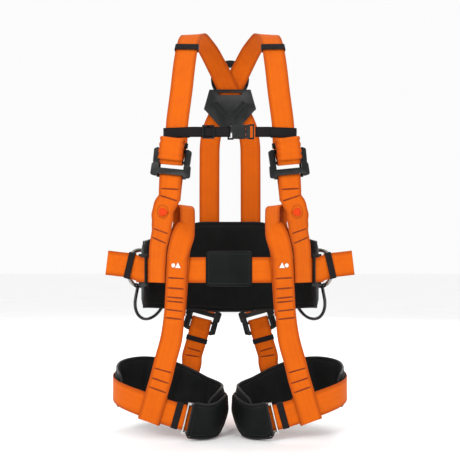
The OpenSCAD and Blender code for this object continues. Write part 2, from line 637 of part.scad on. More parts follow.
module band(w, t, h, wall = 1.2, slack = 0.4) {
    // A flat ring round a strap of width w and thickness t, and h long.
    difference() {
        cube([w + 2 * (slack + wall), t + 2 * (slack + wall), h], center = true);
        cube([w + 2 * slack, t + 2 * slack, h + 2], center = true);
    }
}
module shoulder_keeper() {
    color("#1c1d1e") translate([86.6, -60.5, 446]) rotate([0, 0, 6]) rotate([-32, -5, 0])
        band(webbing_w, webbing_t + 2.2, 15);
}
module shoulder_keeper_left() { left() shoulder_keeper(); }
module shoulder_keeper_right() { right() shoulder_keeper(); }
module strap_keeper() {
    color("#1c1d1e") place(loc(sb, sb_az, sb_tilt, 0, 39, -12.6), sb_az, sb_tilt)
        band(webbing_w, webbing_t + 1, 9, slack = 0.6);
}
module strap_keeper_left() { left() strap_keeper(); }
module strap_keeper_right() { right() strap_keeper(); }
module riser_keeper() {
    color("#1c1d1e") place(loc(lb, lb_az, lb_tilt, 0, -46, -12.2), lb_az, lb_tilt)
        band(webbing_w, webbing_t + 1, 11, slack = 0.6);
}
module riser_keeper_left() { left() riser_keeper(); }
module riser_keeper_right() { right() riser_keeper(); }
module belt_keeper() {
    color("#1c1d1e") translate([203.6, -42.3, 9.1]) rotate([0, -11, 9]) rotate([0, 90, 0])
        rotate([0, 0, 90]) band(webbing_t + 3.2, belt_w + 1, 11);
}
module belt_keeper_left() { left() belt_keeper(); }
module belt_keeper_right() { right() belt_keeper(); }
module on_leg(s, o = 0) {
    // Puts a part drawn with X along the band and Z up it on the leg band at s.
    d = -leg_dir(s);
    translate(leg_at(s) + o * leg_out(s)) rotate([0, 0, atan2(d[1], d[0])])
        rotate([0, -asin(d[2]), 0]) children();
}
module thigh_keeper() {
    color("#1c1d1e") on_leg(2.87) rotate([0, 90, 0]) rotate([0, 0, 90])
        band(webbing_t + 0.8, belt_w, 13);
}
module thigh_keeper_left() { left() thigh_keeper(); }
module thigh_keeper_right() { right() thigh_keeper(); }
module thigh_buckle() {
    // A pressed steel slide: two bars outside the band and one inside it.
    color("#a9aca8") on_leg(3.36) {
        for (x = [-14, 14]) {
            translate([x, -3.8, -31]) cylinder(r = 2, h = 62);
        }
        translate([-2.5, 1.9, -31]) cube([5, 1.8, 62]);
        for (z = [-31, 26.6]) {
            translate([-15, -5.4, z]) cube([30, 9.1, 4.4]);
        }
    }
}
module thigh_buckle_left() { left() thigh_buckle(); }
module thigh_buckle_right() { right() thigh_buckle(); }

// ---- Side D-rings and gear loops --------------------------------------------------------------

side_c = waist(ring_phi, side_bar / 2 + 0.6, 4);
side_dir = -36;
module side_d_ring() {
    // The hinge bar stands on Z; the D reaches along X from it.
    h = side_gap / 2 + side_bar / 2;
    r = 26;
    x1 = side_reach - side_bar / 2 - r;
    color("#868983") translate(side_c) rotate([0, 0, side_dir]) {
        translate([0, 0, -h]) cylinder(r = side_bar / 2, h = 2 * h);
        for (s = [-1, 1]) {
            translate([0, 0, s * h]) sphere(side_bar / 2);
            translate([0, 0, s * h]) rotate([0, 90, 0]) cylinder(r = side_bar / 2, h = x1);
            translate([x1, 0, s * (h - r)]) rotate([90, 0, 0])
                rotate([0, 0, s > 0 ? 0 : -90]) rotate_extrude(angle = 90)
                    translate([r, 0]) circle(side_bar / 2);
        }
        translate([x1 + r, 0, -(h - r)]) cylinder(r = side_bar / 2, h = 2 * (h - r));
    }
}
module side_d_ring_left() { left() side_d_ring(); }
module side_d_ring_right() { right() side_d_ring(); }

gear_a = waist(phi_back(133), 7.8, -32);
gear_b = waist(93, 7.8, -32);
gear_mid = (gear_a + gear_b) / 2;
gear_span = norm(gear_a - gear_b) / 2;
gear_az = atan2((gear_a - gear_b)[1], (gear_a - gear_b)[0]);
gear_leg = 28;
gear_lean = 14;
gear_r = 3.5;
module gear_loop() {
    // A stiff tube: two legs, a half ring, and a short hinge pin at the top of each leg.
    color("#101112") translate(gear_mid) rotate([0, 0, gear_az]) rotate([-gear_lean, 0, 0]) {
        for (s = [-1, 1]) {
            translate([s * gear_span, 0, -gear_leg]) cylinder(r = gear_r, h = gear_leg);
            translate([s * gear_span - 6, 0, 0]) rotate([0, 90, 0]) cylinder(r = gear_r, h = 12);
        }
        translate([0, 0, -gear_leg]) rotate([90, 0, 0]) rotate([0, 0, 180])
            rotate_extrude(angle = 180) translate([gear_span, 0]) circle(gear_r);
    }
}
module gear_loop_left() { left() gear_loop(); }
module gear_loop_right() { right() gear_loop(); }
module gear_tabs() {
    // Sewn tabs that carry the gear loop's pins under the belt's lower edge.
    color("#1b1c1d") translate(gear_mid) rotate([0, 0, gear_az]) {
        for (s = [-1, 1]) for (e = [-1, 1]) {
            translate([s * gear_span + (e > 0 ? gear_r + 0.6 : -gear_r - 3.6), 0, 0]) difference() {
                rotate([0, 90, 0]) cylinder(r = gear_r + 1.3, h = 3);
                translate([-1, 0, 0]) rotate([0, 90, 0]) cylinder(r = gear_r + 0.06, h = 5);
            }
        }
    }
}
module gear_tabs_left() { left() gear_tabs(); }
module gear_tabs_right() { right() gear_tabs(); }

// ---- Label, load indicators and marks ---------------------------------------------------------

module label() {
    color("#15171a") left() translate([26, 112.1, 228]) cube([38, 0.9, 38]);
}
module load_indicator() {
    // A small sewn patch that shows when the webbing has been overloaded.
    color("#d84000") place([131.4, -102.2, 113] + 1.7 * out(23), 23, 5) rotate([90, 0, 0])
        linear_extrude(0.8) {
            circle(8);
            polygon([[-4.9, 6.3], [-4.9, -6.3], [-13, 0]]);
        }
}
module load_indicator_left() { left() load_indicator(); }
module load_indicator_right() { right() load_indicator(); }
module loop_mark() {
    f = phi_front(101);
    translate(waist(f, o_top + webbing_t / 2 + 0.7, 10)) rotate([0, 0, waist_az(f)])
        rotate([90, 0, 0]) linear_extrude(0.6) {
            polygon([[-9, -6], [-3, 5], [3, -6]]);
            translate([7, -1]) circle(4);
        }
}
module loop_marks() {
    color("white") left() loop_mark();
    color("white") right() loop_mark();
}

shoulder_strap_left();
shoulder_strap_right();
front_strap_left();
front_strap_right();
front_riser_left();
front_riser_right();
rear_riser_left();
rear_riser_right();
waist_belt_rear();
waist_belt_front();
belt_sleeve();
lumbar_pad();
leg_band_left();
leg_band_right();
leg_pad_left();
leg_pad_right();
leg_flap_left();
leg_flap_right();
dorsal_plate();
dorsal_d_ring();
shoulder_buckle_bar_left();
shoulder_buckle_bar_right();
shoulder_buckle_frame_left();
shoulder_buckle_frame_right();
leg_buckle_bar_left();
leg_buckle_bar_right();
leg_buckle_frame_left();
leg_buckle_frame_right();
waist_adjuster_left();
waist_adjuster_right();
thigh_buckle_left();
thigh_buckle_right();
chest_strap_left();
chest_strap_right();
chest_loop_left();
chest_slide();
chest_socket();
chest_plug();
shoulder_keeper_left();
shoulder_keeper_right();
strap_keeper_left();
strap_keeper_right();
riser_keeper_left();
riser_keeper_right();
belt_keeper_left();
belt_keeper_right();
thigh_keeper_left();
thigh_keeper_right();
side_d_ring_left();
side_d_ring_right();
gear_loop_left();
gear_loop_right();
gear_tabs_left();
gear_tabs_right();
label();
load_indicator_left();
load_indicator_right();
loop_marks();
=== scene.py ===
"""A full-body safety harness with a positioning belt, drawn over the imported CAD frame.

Lengths are in metres. The origin is the centre of the dorsal ring's opening, X runs across the
wearer with the left hand at +X, the chest looks to -Y and Z is up. Each strap is drawn again as
woven webbing along the middle line of its CAD solid, and the pads are padded over theirs.
"""

import json
import math
from itertools import permutations

import bmesh
import bpy
import numpy as np
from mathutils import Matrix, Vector
from mathutils.bvhtree import BVHTree


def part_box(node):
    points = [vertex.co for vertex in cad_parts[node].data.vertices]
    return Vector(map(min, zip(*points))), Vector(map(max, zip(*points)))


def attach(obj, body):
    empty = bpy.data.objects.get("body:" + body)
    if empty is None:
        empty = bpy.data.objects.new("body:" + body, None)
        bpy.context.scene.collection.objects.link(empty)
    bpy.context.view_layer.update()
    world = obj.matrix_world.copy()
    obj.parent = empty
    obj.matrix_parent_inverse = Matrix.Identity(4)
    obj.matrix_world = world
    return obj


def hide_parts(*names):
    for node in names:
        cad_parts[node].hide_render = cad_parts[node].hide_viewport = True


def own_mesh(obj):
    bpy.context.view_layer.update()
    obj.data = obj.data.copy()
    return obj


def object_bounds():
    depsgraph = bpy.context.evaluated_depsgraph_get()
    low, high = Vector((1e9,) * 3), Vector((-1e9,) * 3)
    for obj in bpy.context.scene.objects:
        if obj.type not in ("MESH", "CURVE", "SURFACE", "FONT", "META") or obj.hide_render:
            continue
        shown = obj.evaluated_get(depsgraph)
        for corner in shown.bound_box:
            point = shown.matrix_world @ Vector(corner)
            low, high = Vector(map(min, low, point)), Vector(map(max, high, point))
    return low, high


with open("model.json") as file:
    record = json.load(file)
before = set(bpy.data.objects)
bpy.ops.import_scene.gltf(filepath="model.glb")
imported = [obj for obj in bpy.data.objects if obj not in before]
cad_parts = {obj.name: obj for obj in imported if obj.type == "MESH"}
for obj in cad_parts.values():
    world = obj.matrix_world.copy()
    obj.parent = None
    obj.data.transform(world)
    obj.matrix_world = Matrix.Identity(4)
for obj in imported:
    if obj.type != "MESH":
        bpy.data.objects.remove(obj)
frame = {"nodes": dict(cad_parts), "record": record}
cad_box = [list(corner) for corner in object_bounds()]
nodes = frame["nodes"]
BODY_OF = {n: b for b, names in frame["record"]["behaviour"]["bodies"].items() for n in names}
SIDES = ("left", "right")


def middle(node):
    low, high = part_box(node)
    return (low + high) / 2


BELT_Z = middle("waist_belt_rear").z
BODY_Y = (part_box("waist_belt_rear")[1].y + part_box("waist_belt_front")[0].y) / 2
TRUNK = (0.0, BODY_Y, 0.0)
FLOOR_GAP = 0.004
FLOOR_Z = cad_box[0][2] - FLOOR_GAP


def above_belt(millimetres):
    return BELT_Z + millimetres / 1000


# ---- Camera, light and floor -----------------------------------------------------------------

EYE_DISTANCE = 1.525
LENS_MM, SENSOR_MM = 57, 36
SHIFT_UP = 0.087
AMBIENT = 0.97
CENTRE = Vector((0, BODY_Y, BELT_Z))

camera = bpy.data.objects.new("camera", bpy.data.cameras.new("camera"))
bpy.context.scene.collection.objects.link(camera)
camera.location = (0, BODY_Y - EYE_DISTANCE, BELT_Z)
camera.rotation_euler = (math.radians(90), 0, 0)
camera.data.lens = LENS_MM
camera.data.sensor_width = SENSOR_MM
camera.data.shift_y = SHIFT_UP
camera.data.clip_start = 0.02
bpy.context.scene.camera = camera


def area_light(name, place, size, watts):
    """A round lamp that looks at the middle of the belt."""
    light = bpy.data.lights.new(name, "AREA")
    light.shape = "DISK"
    light.size = size
    light.energy = watts
    lamp = bpy.data.objects.new(name, light)
    bpy.context.scene.collection.objects.link(lamp)
    lamp.location = place
    lamp.rotation_euler = (CENTRE - Vector(place)).to_track_quat("-Z", "Y").to_euler()


area_light("key_light", (-1.3, -2.3, 1.0), 1.3, 36)
area_light("fill_light", (1.9, -1.9, 0.1), 1.7, 12)
area_light("back_light", (0.9, 2.3, 1.2), 1.4, 30)
area_light("back_fill", (-1.8, 1.6, 0.2), 1.6, 10)

world = bpy.data.worlds.new("studio")
bpy.context.scene.world = world
world.use_nodes = True
sky = world.node_tree.nodes["Background"]
sky.inputs["Color"].default_value = (1, 1, 1, 1)
sky.inputs["Strength"].default_value = AMBIENT
bpy.context.scene.view_settings.view_transform = "Standard"


# ---- Materials -------------------------------------------------------------------------------


class Shader:
    """A small builder for one node material with a principled surface."""

    def __init__(self, name, roughness=0.6, **constants):
        self.material = bpy.data.materials.new(name)
        self.material.use_nodes = True
        self.tree = self.material.node_tree
        self.surface = self.tree.nodes["Principled BSDF"]
        self.surface.inputs["Roughness"].default_value = roughness
        for key, value in constants.items():
            self.surface.inputs[key.replace("_", " ")].default_value = value
        self.bump_height = None

    def feed(self, socket, value):
        if isinstance(value, bpy.types.NodeSocket):
            self.tree.links.new(value, socket)
        else:
            socket.default_value = value

    def node(self, kind, inputs=(), output=0, **settings):
        made = self.tree.nodes.new(kind)
        for key, value in settings.items():
            setattr(made, key, value)
        for key, value in dict(inputs).items():
            self.feed(made.inputs[key], value)
        return made.outputs[output]

    def maths(self, operation, a, b=0.0, c=0.0):
        return self.node("ShaderNodeMath", {0: a, 1: b, 2: c}, operation=operation)

    def coordinates(self, which="Object"):
        return self.node("ShaderNodeTexCoord", output=which)

    def uv(self):
        """The two coordinates of the UV map."""
        return [self.node("ShaderNodeSeparateXYZ", {"Vector": self.coordinates("UV")}, output=k)
                for k in (0, 1)]

    def scaled(self, vector, scale):
        return self.node("ShaderNodeMapping", {"Vector": vector, "Scale": scale})

    def noise(self, vector, scale, detail=3.0, roughness=0.5):
        return self.node("ShaderNodeTexNoise", {
            "Vector": vector, "Scale": scale, "Detail": detail, "Roughness": roughness})

    def ramp(self, factor, stops):
        made = self.tree.nodes.new("ShaderNodeValToRGB")
        ramp = made.color_ramp
        while len(ramp.elements) < len(stops):
            ramp.elements.new(0.5)
        for element, (place, colour) in zip(ramp.elements, stops):
            element.position = place
            element.color = (*colour, 1)
        self.feed(made.inputs["Fac"], factor)
        return made.outputs["Color"]

    def mix(self, factor, a, b):
        made = self.tree.nodes.new("ShaderNodeMix")
        made.data_type = "RGBA"
        self.feed(made.inputs["Factor"], factor)
        for key, value in (("A", a), ("B", b)):
            socket = [s for s in made.inputs if s.name == key and s.type == "RGBA"][0]
            self.feed(socket, value if isinstance(value, bpy.types.NodeSocket) else (*value, 1))
        return [s for s in made.outputs if s.type == "RGBA"][0]

    def colour(self, value):
        socket = self.surface.inputs["Base Color"]
        self.feed(socket, value if isinstance(value, bpy.types.NodeSocket) else (*value, 1))
        return self

    def roughness(self, value, low, high):
        self.feed(self.surface.inputs["Roughness"], self.node(
            "ShaderNodeMapRange", {"Value": value, "To Min": low, "To Max": high}))
        return self

    def bump(self, height, strength, distance):
        made = self.tree.nodes.new("ShaderNodeBump")
        made.inputs["Strength"].default_value = strength
        made.inputs["Distance"].default_value = distance
        self.feed(made.inputs["Height"], height)
        if self.bump_height is not None:
            self.feed(made.inputs["Normal"], self.bump_height)
        self.bump_height = made.outputs["Normal"]
        self.feed(self.surface.inputs["Normal"], self.bump_height)
        return self


def webbing_material(name, base, dark, light, ribs, pitch, edge_shade=0.82, roughness=0.62):
    """Herringbone webbing. The UV map runs in metres: U across the strap, V along it."""
    s = Shader(name, roughness, Sheen_Weight=0.03, Sheen_Roughness=0.45, Specular_IOR_Level=0.1)
    u, v = s.uv()
    zigzag = s.maths("PINGPONG", u, ribs)
    slant = s.maths("ADD", v, s.maths("MULTIPLY", zigzag, 0.8))
    twill = s.maths("SINE", s.maths("MULTIPLY", slant, 2 * math.pi / pitch))
    rib = s.maths("SINE", s.maths("MULTIPLY", u, math.pi / ribs))
    height = s.maths("MULTIPLY_ADD", rib, 0.12, twill)
    blotch = s.noise(s.coordinates(), 38.0, 4.0)
    fuzz = s.noise(s.coordinates(), 900.0, 2.0)
    soft = s.maths("MULTIPLY_ADD", fuzz, 0.35, s.maths("MULTIPLY", blotch, 0.25))
    shade = s.maths("MULTIPLY_ADD", rib, 0.015, s.maths("MULTIPLY_ADD", twill, 0.12, soft))
    cloth = s.ramp(shade, [(0.08, dark), (0.32, base), (0.58, light)])
    # Painted shade: the edge attribute darkens the strap's rounded edges towards the dark tone, as if
    # they turned away from the light.
    edge = s.node("ShaderNodeAttribute", attribute_name="edge", output=2)
    wear_and_edge_shade = s.mix(edge, cloth, tuple(c * edge_shade for c in dark))
    s.colour(wear_and_edge_shade)
    s.roughness(blotch, roughness - 0.08, roughness + 0.14)
    s.bump(height, 0.55, 0.00022)
    s.bump(fuzz, 0.25, 0.0002)
    return s.material


def fabric_material(name, base, light, scale=1400.0, roughness=0.72, sheen=0.06, specular=0.2):
    """A plain dense weave on object coordinates, for pads, piping and covers."""
    depth = 0.00018
    s = Shader(name, roughness, Sheen_Weight=sheen, Sheen_Roughness=0.4, Specular_IOR_Level=specular)
    place = s.coordinates()
    bands = {"Vector": place, "Scale": scale / 6.28, "Distortion": 0.3}
    threads = [s.node("ShaderNodeTexWave", bands, output=1, bands_direction=axis)
               for axis in ("X", "Z")]
    weave = s.maths("MAXIMUM", threads[0], threads[1])
    patch = s.noise(place, 26.0, 5.0, 0.6)
    fuzz = s.noise(place, 700.0, 2.0)
    shade = s.maths("MULTIPLY_ADD", weave, 0.25, s.maths("MULTIPLY", patch, 0.75))
    s.colour(s.ramp(shade, [(0.25, base), (0.75, light)]))
    s.roughness(patch, roughness - 0.12, roughness + 0.12)
    s.bump(weave, 0.35, depth)
    s.bump(fuzz, 0.35, depth)
    return s.material


def moulded_material(name, base, wear_and_edge_shade, roughness=0.42, grain=0.00012, specular=0.5):
    """Moulded plastic or painted steel: fine grain, faint scuffs and lighter edges rubbed by wear."""
    s = Shader(name, roughness, Specular_IOR_Level=specular)
    place = s.coordinates()
    grit = s.noise(place, 1500.0, 2.0)
    patch = s.noise(place, 45.0, 4.0, 0.6)
    pointy = s.node("ShaderNodeNewGeometry", output="Pointiness")
    edge = s.ramp(s.maths("MULTIPLY_ADD", patch, 0.08, pointy),
                  [(0.56, (0, 0, 0)), (0.64, (1, 1, 1))])
    body = s.ramp(patch, [(0.3, base), (0.75, tuple(1.5 * c for c in base))])
    s.colour(s.mix(edge, body, wear_and_edge_shade))
    s.roughness(patch, roughness - 0.1, roughness + 0.14)
    s.bump(grit, 0.3, grain)
    return s.material


def metal_material(name, base, dark, roughness=0.3, streak=240.0):
    """Bare steel with fine draw lines and a few darker stains."""
    s = Shader(name, roughness, Metallic=1.0)
    place = s.coordinates()
    lines = s.noise(s.scaled(place, (1.0, 1.0, 9.0)), streak, 3.0)
    stain = s.noise(place, 60.0, 5.0, 0.65)
    s.colour(s.ramp(s.maths("MULTIPLY_ADD", lines, 0.3, s.maths("MULTIPLY", stain, 0.7)),
                    [(0.3, dark), (0.65, base)]))
    s.roughness(stain, roughness - 0.08, roughness + 0.16)
    s.bump(lines, 0.18, 0.00012)
    return s.material


def thread_material(name, base, dark):
    """Close zigzag stitching. U runs along the bar, V across it, in metres."""
    pitch = 0.0011
    s = Shader(name, 0.6, Sheen_Weight=0.03, Specular_IOR_Level=0.12)
    u, v = s.uv()
    lean = s.maths("ADD", u, s.maths("MULTIPLY", s.maths("PINGPONG", v, 0.0012), 0.5))
    thread = s.maths("SINE", s.maths("MULTIPLY", lean, 2 * math.pi / pitch))
    s.colour(s.ramp(s.maths("MULTIPLY_ADD", thread, 0.5, 0.5), [(0.15, dark), (0.7, base)]))
    s.bump(thread, 0.8, 0.0003)
    return s.material


ORANGE = (0.64, 0.112, 0.001)
MATERIAL = {
    "webbing": webbing_material("orange_webbing", ORANGE, (0.50, 0.074, 0.001),
                                (0.72, 0.147, 0.003), 0.0055, 0.0018),
    "black_web": webbing_material("black_webbing", (0.010, 0.008, 0.009), (0.004, 0.003, 0.004),
                                  (0.024, 0.020, 0.021), 0.003, 0.0012, 0.9, 0.55),
    "red_mark": webbing_material("indicator_cloth", (0.70, 0.05, 0.004), (0.50, 0.03, 0.003),
                                 (0.8, 0.09, 0.01), 0.004, 0.0014),
    "pad": fabric_material("pad_fabric", (0.0025, 0.003, 0.003), (0.009, 0.010, 0.010),
                           sheen=0.03, specular=0.08),
    # Painted highlight: a lighter copy of the pad fabric for the lumbar pad's outward faces beyond its
    # middle, where its curved sides catch the light.
    "pad_painted_highlight": fabric_material("pad_fabric_painted_highlight", (0.018, 0.023, 0.021), (0.036, 0.043, 0.040),
                                 1100.0, 0.6),
    "piping": fabric_material("piping", (0.004, 0.004, 0.004), (0.012, 0.011, 0.012),
                              1900.0, 0.5, 0.1),
    "flap": fabric_material("flap_cover", (0.002, 0.0026, 0.0026), (0.0065, 0.0075, 0.0075),
                            1500.0, 0.45, 0.02, specular=0.09),
    "thread": thread_material("red_brown_thread", (0.30, 0.045, 0.008), (0.16, 0.022, 0.005)),
    "black_thread": thread_material("black_thread", (0.06, 0.06, 0.062), (0.012, 0.012, 0.012)),
    "green_print": moulded_material("green_print", (0.015, 0.25, 0.09), (0.05, 0.4, 0.2), 0.5,
                                    specular=0.2),
    "grey_print": moulded_material("grey_print", (0.13, 0.15, 0.14), (0.2, 0.2, 0.2), 0.5,
                                   specular=0.2),
    "print": moulded_material("white_print", (0.62, 0.60, 0.57), (0.7, 0.7, 0.7), 0.6),
    "painted": moulded_material("black_painted_steel", (0.003, 0.0034, 0.0034),
                                (0.035, 0.035, 0.034), 0.32, specular=0.16),
    "plastic": moulded_material("black_plastic", (0.003, 0.0036, 0.0038), (0.025, 0.027, 0.027),
                                0.42, 0.0002, specular=0.14),
    "plate": moulded_material("plate_plastic", (0.009, 0.0115, 0.012), (0.045, 0.05, 0.05),
                              0.4, 0.00015, specular=0.2),
    "tube": moulded_material("gloss_tube", (0.004, 0.0045, 0.0045), (0.03, 0.03, 0.03),
                             0.12, 0.00004, specular=0.6),
    "forged": metal_material("forged_steel", (0.42, 0.42, 0.40), (0.2, 0.195, 0.185), 0.36),
    "bright": metal_material("bright_steel", (0.78, 0.78, 0.77), (0.45, 0.45, 0.44), 0.2, 420.0),
}

floor_shader = Shader("pale_floor", 0.75)
floor_shader.colour(floor_shader.ramp(floor_shader.noise(floor_shader.coordinates(), 3.0),
                                      [(0.3, (0.93, 0.93, 0.93)), (0.7, (0.96, 0.96, 0.96))]))


def link(name, mesh, material):
    """A smooth object in the scene from a mesh and a material."""
    made = bpy.data.objects.new(name, mesh)
    bpy.context.scene.collection.objects.link(made)
    mesh.materials.append(material)
    for face in mesh.polygons:
        face.use_smooth = True
    return made


FLOOR_HALF = 60
plane = bpy.data.meshes.new("floor")
plane.from_pydata([(x * FLOOR_HALF, y * FLOOR_HALF, FLOOR_Z)
                   for x, y in ((-1, -1), (1, -1), (1, 1), (-1, 1))], [], [(0, 1, 2, 3)])
link("floor", plane, floor_shader.material)


# ---- Straps: the middle line of a CAD ribbon -------------------------------------------------


def ribbon_rings(node):
    """The four corners of each section of a CAD ribbon, in order from one end to the other.

    A section's corners touch only the sections next to it, so the sections are the steps of a
    walk that starts from the right end face and always meets four new corners.
    """
    mesh = nodes[node].data
    places, number = [], {}
    index = []
    for vertex in mesh.vertices:
        key = tuple(round(c * 1e5) for c in vertex.co)
        if key not in number:
            number[key] = len(places)
            places.append(np.array(vertex.co))
        index.append(number[key])
    beside = [set() for _ in places]
    across = {}
    for face in mesh.polygons:
        loop = [index[v] for v in face.vertices]
        for k, a in enumerate(loop):
            b = loop[(k + 1) % len(loop)]
            beside[a].add(b)
            beside[b].add(a)
            across.setdefault(frozenset((a, b)), []).append(loop)
    for edge, faces in across.items():
        if len(faces) != 2 or len(edge) != 2:
            continue
        a, c = edge
        b, d = (next(v for v in loop if v not in edge) for loop in faces)
        rings = walk([a, b, c, d], beside, places)
        if rings:
            return np.array([[places[v] for v in ring] for ring in rings])
    raise ValueError(f"{node} is not a ribbon")


def walk(first, beside, places):
    """The sections from the first one to the last, or None where the walk breaks off."""
    rings, seen, ring = [first], set(first), first
    while len(seen) < len(places):
        after = set().union(*(beside[v] for v in ring)) - seen
        if len(after) != 4:
            return None
        best = min((sum(np.linalg.norm(places[v] - places[w]) for v, w in zip(ring, order)), order)
                   for order in permutations(sorted(after))
                   if all(w in beside[v] for v, w in zip(ring, order)))
        ring = list(best[1])
        rings.append(ring)
        seen |= set(ring)
    return rings


def unit(v):
    return v / max(np.linalg.norm(v), 1e-12)


class Strap:
    """A strap's middle line, with its direction across (side) and out of its face (normal)."""

    def __init__(self, node, around, step=0.004):
        rings = ribbon_rings(node)
        if np.linalg.norm(rings[0, 0] - rings[0, 1]) < np.linalg.norm(rings[0, 1] - rings[0, 2]):
            rings = np.roll(rings, 1, axis=1)
        self.node = node
        p = rings.mean(axis=1)
        side = (rings[:, 0] + rings[:, 3] - rings[:, 1] - rings[:, 2]) / 2
        face = (rings[:, 0] + rings[:, 1] - rings[:, 2] - rings[:, 3]) / 2
        outward = p - np.array(around)
        outward[:, 2] = 0
        if (outward * face).sum() < 0:
            face = -face
        if side[:, 2].sum() < 0:
            side = -side
        self.place, self.across, self.face = self.refine(p, side, face, step)
        self.measure()

    def measure(self):
        """Finds the length from the start to each place."""
        gaps = np.linalg.norm(np.diff(self.place, axis=0), axis=1)
        self.length = np.concatenate([[0], np.cumsum(gaps)])

    def draw_out(self, point):
        """Moves the end that lies nearest a point to it."""
        end = min((0, -1), key=lambda i: np.linalg.norm(self.place[i] - np.array(point)))
        self.place[end] = point
        self.measure()

    @staticmethod
    def refine(p, side, face, step):
        """The line in steps of about one length, bent smoothly through its places."""
        places, sides, faces = [], [], []
        last = len(p) - 1
        for i in range(last):
            a, b, c, d = p[max(i - 1, 0)], p[i], p[i + 1], p[min(i + 2, last)]
            gap = np.linalg.norm(c - b)
            parts = max(1, math.ceil(gap / step))
            before = after = c - b
            if i:
                before = (c - a) * gap / max(np.linalg.norm(b - a) + gap, 1e-9)
            if i < last - 1:
                after = (d - b) * gap / max(np.linalg.norm(d - c) + gap, 1e-9)
            for k in range(parts):
                t = k / parts
                h = (2 * t**3 - 3 * t**2 + 1, t**3 - 2 * t**2 + t, 3 * t**2 - 2 * t**3, t**3 - t**2)
                places.append(h[0] * b + h[1] * before + h[2] * c + h[3] * after)
                sides.append((1 - t) * side[i] + t * side[i + 1])
                faces.append((1 - t) * face[i] + t * face[i + 1])
        places.append(p[-1])
        sides.append(side[-1])
        faces.append(face[-1])
        return np.array(places), np.array(sides), np.array(faces)

    def at(self, v):
        """Place, unit across, unit face, width and thickness at the length v."""
        v = min(max(v, 0), self.length[-1])
        k = min(np.searchsorted(self.length, v, side="right") - 1, len(self.length) - 2)
        t = (v - self.length[k]) / max(self.length[k + 1] - self.length[k], 1e-9)
        place, across, face = ((1 - t) * a[k] + t * a[k + 1]
                               for a in (self.place, self.across, self.face))
        return place, unit(across), unit(face), np.linalg.norm(across), np.linalg.norm(face)

    def crossings(self, axis, value):
        """Each place where a coordinate passes a value, with its length."""
        line = self.place[:, axis] - value
        for i in range(len(line) - 1):
            if line[i] * line[i + 1] <= 0:
                t = line[i] / (line[i] - line[i + 1]) if line[i] != line[i + 1] else 0
                yield self.place[i], self.length[i] + t * (self.length[i + 1] - self.length[i])

    def where(self, axis, value, keep):
        """The length of the first crossing that keep allows."""
        for place, length in self.crossings(axis, value):
            if keep(place):
                return length
        raise ValueError(f"{self.node} never crosses {value} on axis {axis}")

    def outermost(self, axis, value):
        """The length of the crossing that lies furthest from the trunk's middle."""
        hits = list(self.crossings(axis, value))
        far = [np.linalg.norm(place[:2] - np.array(TRUNK)[:2]) for place, length in hits]
        return hits[int(np.argmax(far))][1]

    def nearest(self, point):
        return self.length[np.argmin(np.linalg.norm(self.place - np.array(point), axis=1))]


def set_uvs(mesh, name, uvs):
    """Gives each face corner the UV of its vertex."""
    layer = mesh.uv_layers.new(name=name)
    loops = np.empty(len(mesh.loops), int)
    mesh.loops.foreach_get("vertex_index", loops)
    layer.data.foreach_set("uv", np.asarray(uvs, np.float32)[loops].ravel())


def face_outwards(mesh):
    fix = bmesh.new()
    fix.from_mesh(mesh)
    bmesh.ops.recalc_face_normals(fix, faces=fix.faces)
    fix.to_mesh(mesh)
    fix.free()


def tube_mesh(name, rows, uvs=None, ring=False, edge=None):
    """A tube through rows of points, capped or joined to itself, with UVs and an edge attribute."""
    m, n = rows.shape[:2]
    mesh = bpy.data.meshes.new(name)
    faces = [(i * n + j, i * n + (j + 1) % n, (i + 1) % m * n + (j + 1) % n, (i + 1) % m * n + j)
             for i in range(m if ring else m - 1) for j in range(n)]
    if not ring:
        for base, turn in ((0, -1), ((m - 1) * n, 1)):
            for k in range(n // 2 - 1):
                quad = (base + k, base + k + 1, base + n - 2 - k, base + n - 1 - k)
                faces.append(quad[::turn])
    mesh.from_pydata([tuple(p) for p in rows.reshape(-1, 3)], [], faces)
    if uvs is not None:
        set_uvs(mesh, "weave", uvs.reshape(-1, 2))
    if edge is not None:
        attribute = mesh.attributes.new("edge", "FLOAT", "POINT")
        attribute.data.foreach_set("value", edge.astype(np.float32).ravel())
    face_outwards(mesh)
    return mesh


def web_profile(flats=7, arc=4):
    """Half-width and half-thickness fractions round a flat strap with round edges."""
    top = [(1 - 2 * k / (flats - 1), 1.0) for k in range(flats)]
    edge = [(-1.0, math.cos(math.pi * k / (arc + 1))) for k in range(1, arc + 1)]
    return top + edge + [(-x, -y) for x, y in top] + [(-x, -y) for x, y in edge]


END_GAP = 0.001
RIPPLE = 0.00012
BACK_FACE_U = 0.2
EDGE_FROM = 0.86


def web_rows(strap, swell):
    """Points, UVs and edge shading of a whole strap.

    A swell says for a place and a length how much wider the strap is there, how far it stands
    out of its face, and how high its puckers are.
    """
    total, seed = strap.length[-1], len(strap.node)
    inner = strap.length[(strap.length > END_GAP) & (strap.length < total - END_GAP)]
    rows, uvs, edges = [], [], []
    for v in np.concatenate([[0], inner, [total]]):
        p, across, face, w, t = strap.at(v)
        wider, lift, crumple = swell(p, v) if swell else (0.0, 0.0, 0.0)
        w, t = w / 2 + wider, t * 0.9 / 2
        row, uv, shade = [], [], []
        for x, y in web_profile():
            bulge = t * math.sqrt(max(0.0, 1 - y * y)) if abs(x) == 1 else 0.0
            u = x * (w - t) + math.copysign(bulge, x)
            ripple = math.sin(v * 95 + 3.1 * x + seed) + 0.6 * math.sin(v * 211 - 2.2 * x + 2 * seed)
            rise = lift + RIPPLE * ripple + crumple * math.sin(v * 520 + 1.3 * x)
            row.append(p + across * u + face * (y * t + rise))
            uv.append((u + (0.0 if y >= 0 else BACK_FACE_U), v))
            # Painted shade mask: 0 over the face, rising to 1 across the rounded edges, which the
            # webbing material darkens.
            shade.append(max(0.0, (abs(x) - EDGE_FROM) / (1 - EDGE_FROM)) if abs(x) < 1 else 1.0)
        rows.append(row)
        uvs.append(uv)
        edges.append(shade)
    return np.array(rows), np.array(uvs), np.array(edges)


